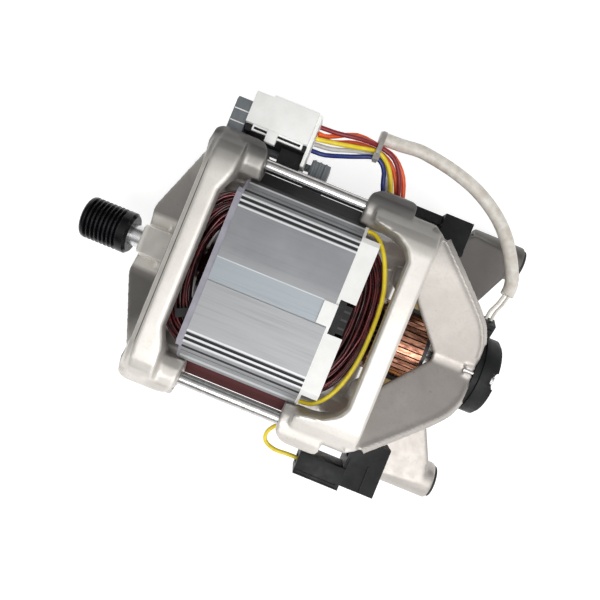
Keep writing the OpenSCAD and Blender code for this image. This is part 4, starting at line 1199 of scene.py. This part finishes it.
def plain_floor():
    """A pale floor just under the motor. Its added brightness is seen, but sheds no light on it."""
    place = (STACK_X, 0, FLOOR_Z - FLOOR_GAP)
    bpy.ops.mesh.primitive_plane_add(size=FLOOR_SIZE, location=place)
    floor = bpy.context.object
    floor.name = "floor"
    material = bpy.data.materials.new("pale_floor")
    material.use_nodes = True
    tree = material.node_tree
    shader = tree.nodes["Principled BSDF"]
    shader.inputs["Base Color"].default_value = FLOOR_GREY
    shader.inputs["Roughness"].default_value = FLOOR_ROUGHNESS
    shader.inputs["Emission Color"].default_value = (1, 1, 1, 1)
    path = tree.nodes.new("ShaderNodeLightPath")
    seen = path.outputs["Is Camera Ray"]
    for ray in ("Is Glossy Ray", "Is Transmission Ray"):
        seen = maths(tree, "MAXIMUM", seen, path.outputs[ray])
    lift = maths(tree, "MULTIPLY", seen, FLOOR_LIFT)
    tree.links.new(lift, shader.inputs["Emission Strength"])
    floor.data.materials.append(material)


# Soft square lamps: the place of each from the middle of the stack, its width and its watts
LAMPS = {
    "top": ((0.14, -0.42, 1.1), 0.6, 5.5),
    "side": ((0.35, -0.95, 0.55), 0.5, 1.2),
}
# The room is brightest on one side overhead, and dims away from there
ROOM_BRIGHT_SIDE = (0.32, -0.12, 0.94)
ROOM_BRIGHT = 1.25
ROOM_DIM = 0.05
ROOM_FALL = 3.0
# The room's pale walls end where a line of sight rises this much, from full to nothing
WALL_TOP = (0.16, 0.42)


def soft_light(name, place, width, watts):
    lamp = bpy.data.lights.new(name, "AREA")
    lamp.shape = "SQUARE"
    lamp.size = width
    lamp.energy = watts
    holder = place_object(name, lamp)
    middle = Vector((STACK_X, 0, 0))
    holder.location = middle + Vector(place)
    aim = -Vector(place)
    holder.rotation_euler = aim.to_track_quat("-Z", "Y").to_euler()


def bright_room():
    """A world that is bright overhead, dim towards the pulley and pale along its walls."""
    world = bpy.data.worlds.new("studio")
    world.use_nodes = True
    tree = world.node_tree
    place = tree.nodes.new("ShaderNodeTexCoord")
    facing = tree.nodes.new("ShaderNodeVectorMath")
    facing.operation = "DOT_PRODUCT"
    facing.inputs[1].default_value = Vector(ROOM_BRIGHT_SIDE).normalized()
    tree.links.new(place.outputs["Generated"], facing.inputs[0])
    share = maths(tree, "MAXIMUM", facing.outputs["Value"], 0.0)
    share = maths(tree, "POWER", share, ROOM_FALL)
    overhead = maths(tree, "MULTIPLY_ADD", share, ROOM_BRIGHT, ROOM_DIM)
    split = tree.nodes.new("ShaderNodeSeparateXYZ")
    tree.links.new(place.outputs["Generated"], split.inputs[0])
    walls = tree.nodes.new("ShaderNodeMapRange")
    walls.interpolation_type = "SMOOTHSTEP"
    for label, value in zip(("From Min", "From Max", "To Min", "To Max"), (*WALL_TOP, 1.0, 0.0)):
        walls.inputs[label].default_value = value
    tree.links.new(split.outputs["Z"], walls.inputs["Value"])
    level = maths(tree, "MAXIMUM", overhead, walls.outputs["Result"])
    background = tree.nodes["Background"]
    background.inputs["Color"].default_value = (1, 1, 1, 1)
    tree.links.new(level, background.inputs["Strength"])
    bpy.context.scene.world = world


def photo_camera():
    data = bpy.data.cameras.new("photo_camera")
    data.lens = CAMERA_LENS
    data.sensor_width = CAMERA_SENSOR
    data.clip_start, data.clip_end = CAMERA_RANGE
    camera = place_object("photo_camera", data)
    camera.location = CAMERA_PLACE
    camera.rotation_euler = (0, 0, CAMERA_TURN)
    bpy.context.scene.camera = camera


plain_floor()
for name, lamp in LAMPS.items():
    soft_light(name, *lamp)
bright_room()
photo_camera()
bpy.context.scene.view_settings.view_transform = "Standard"
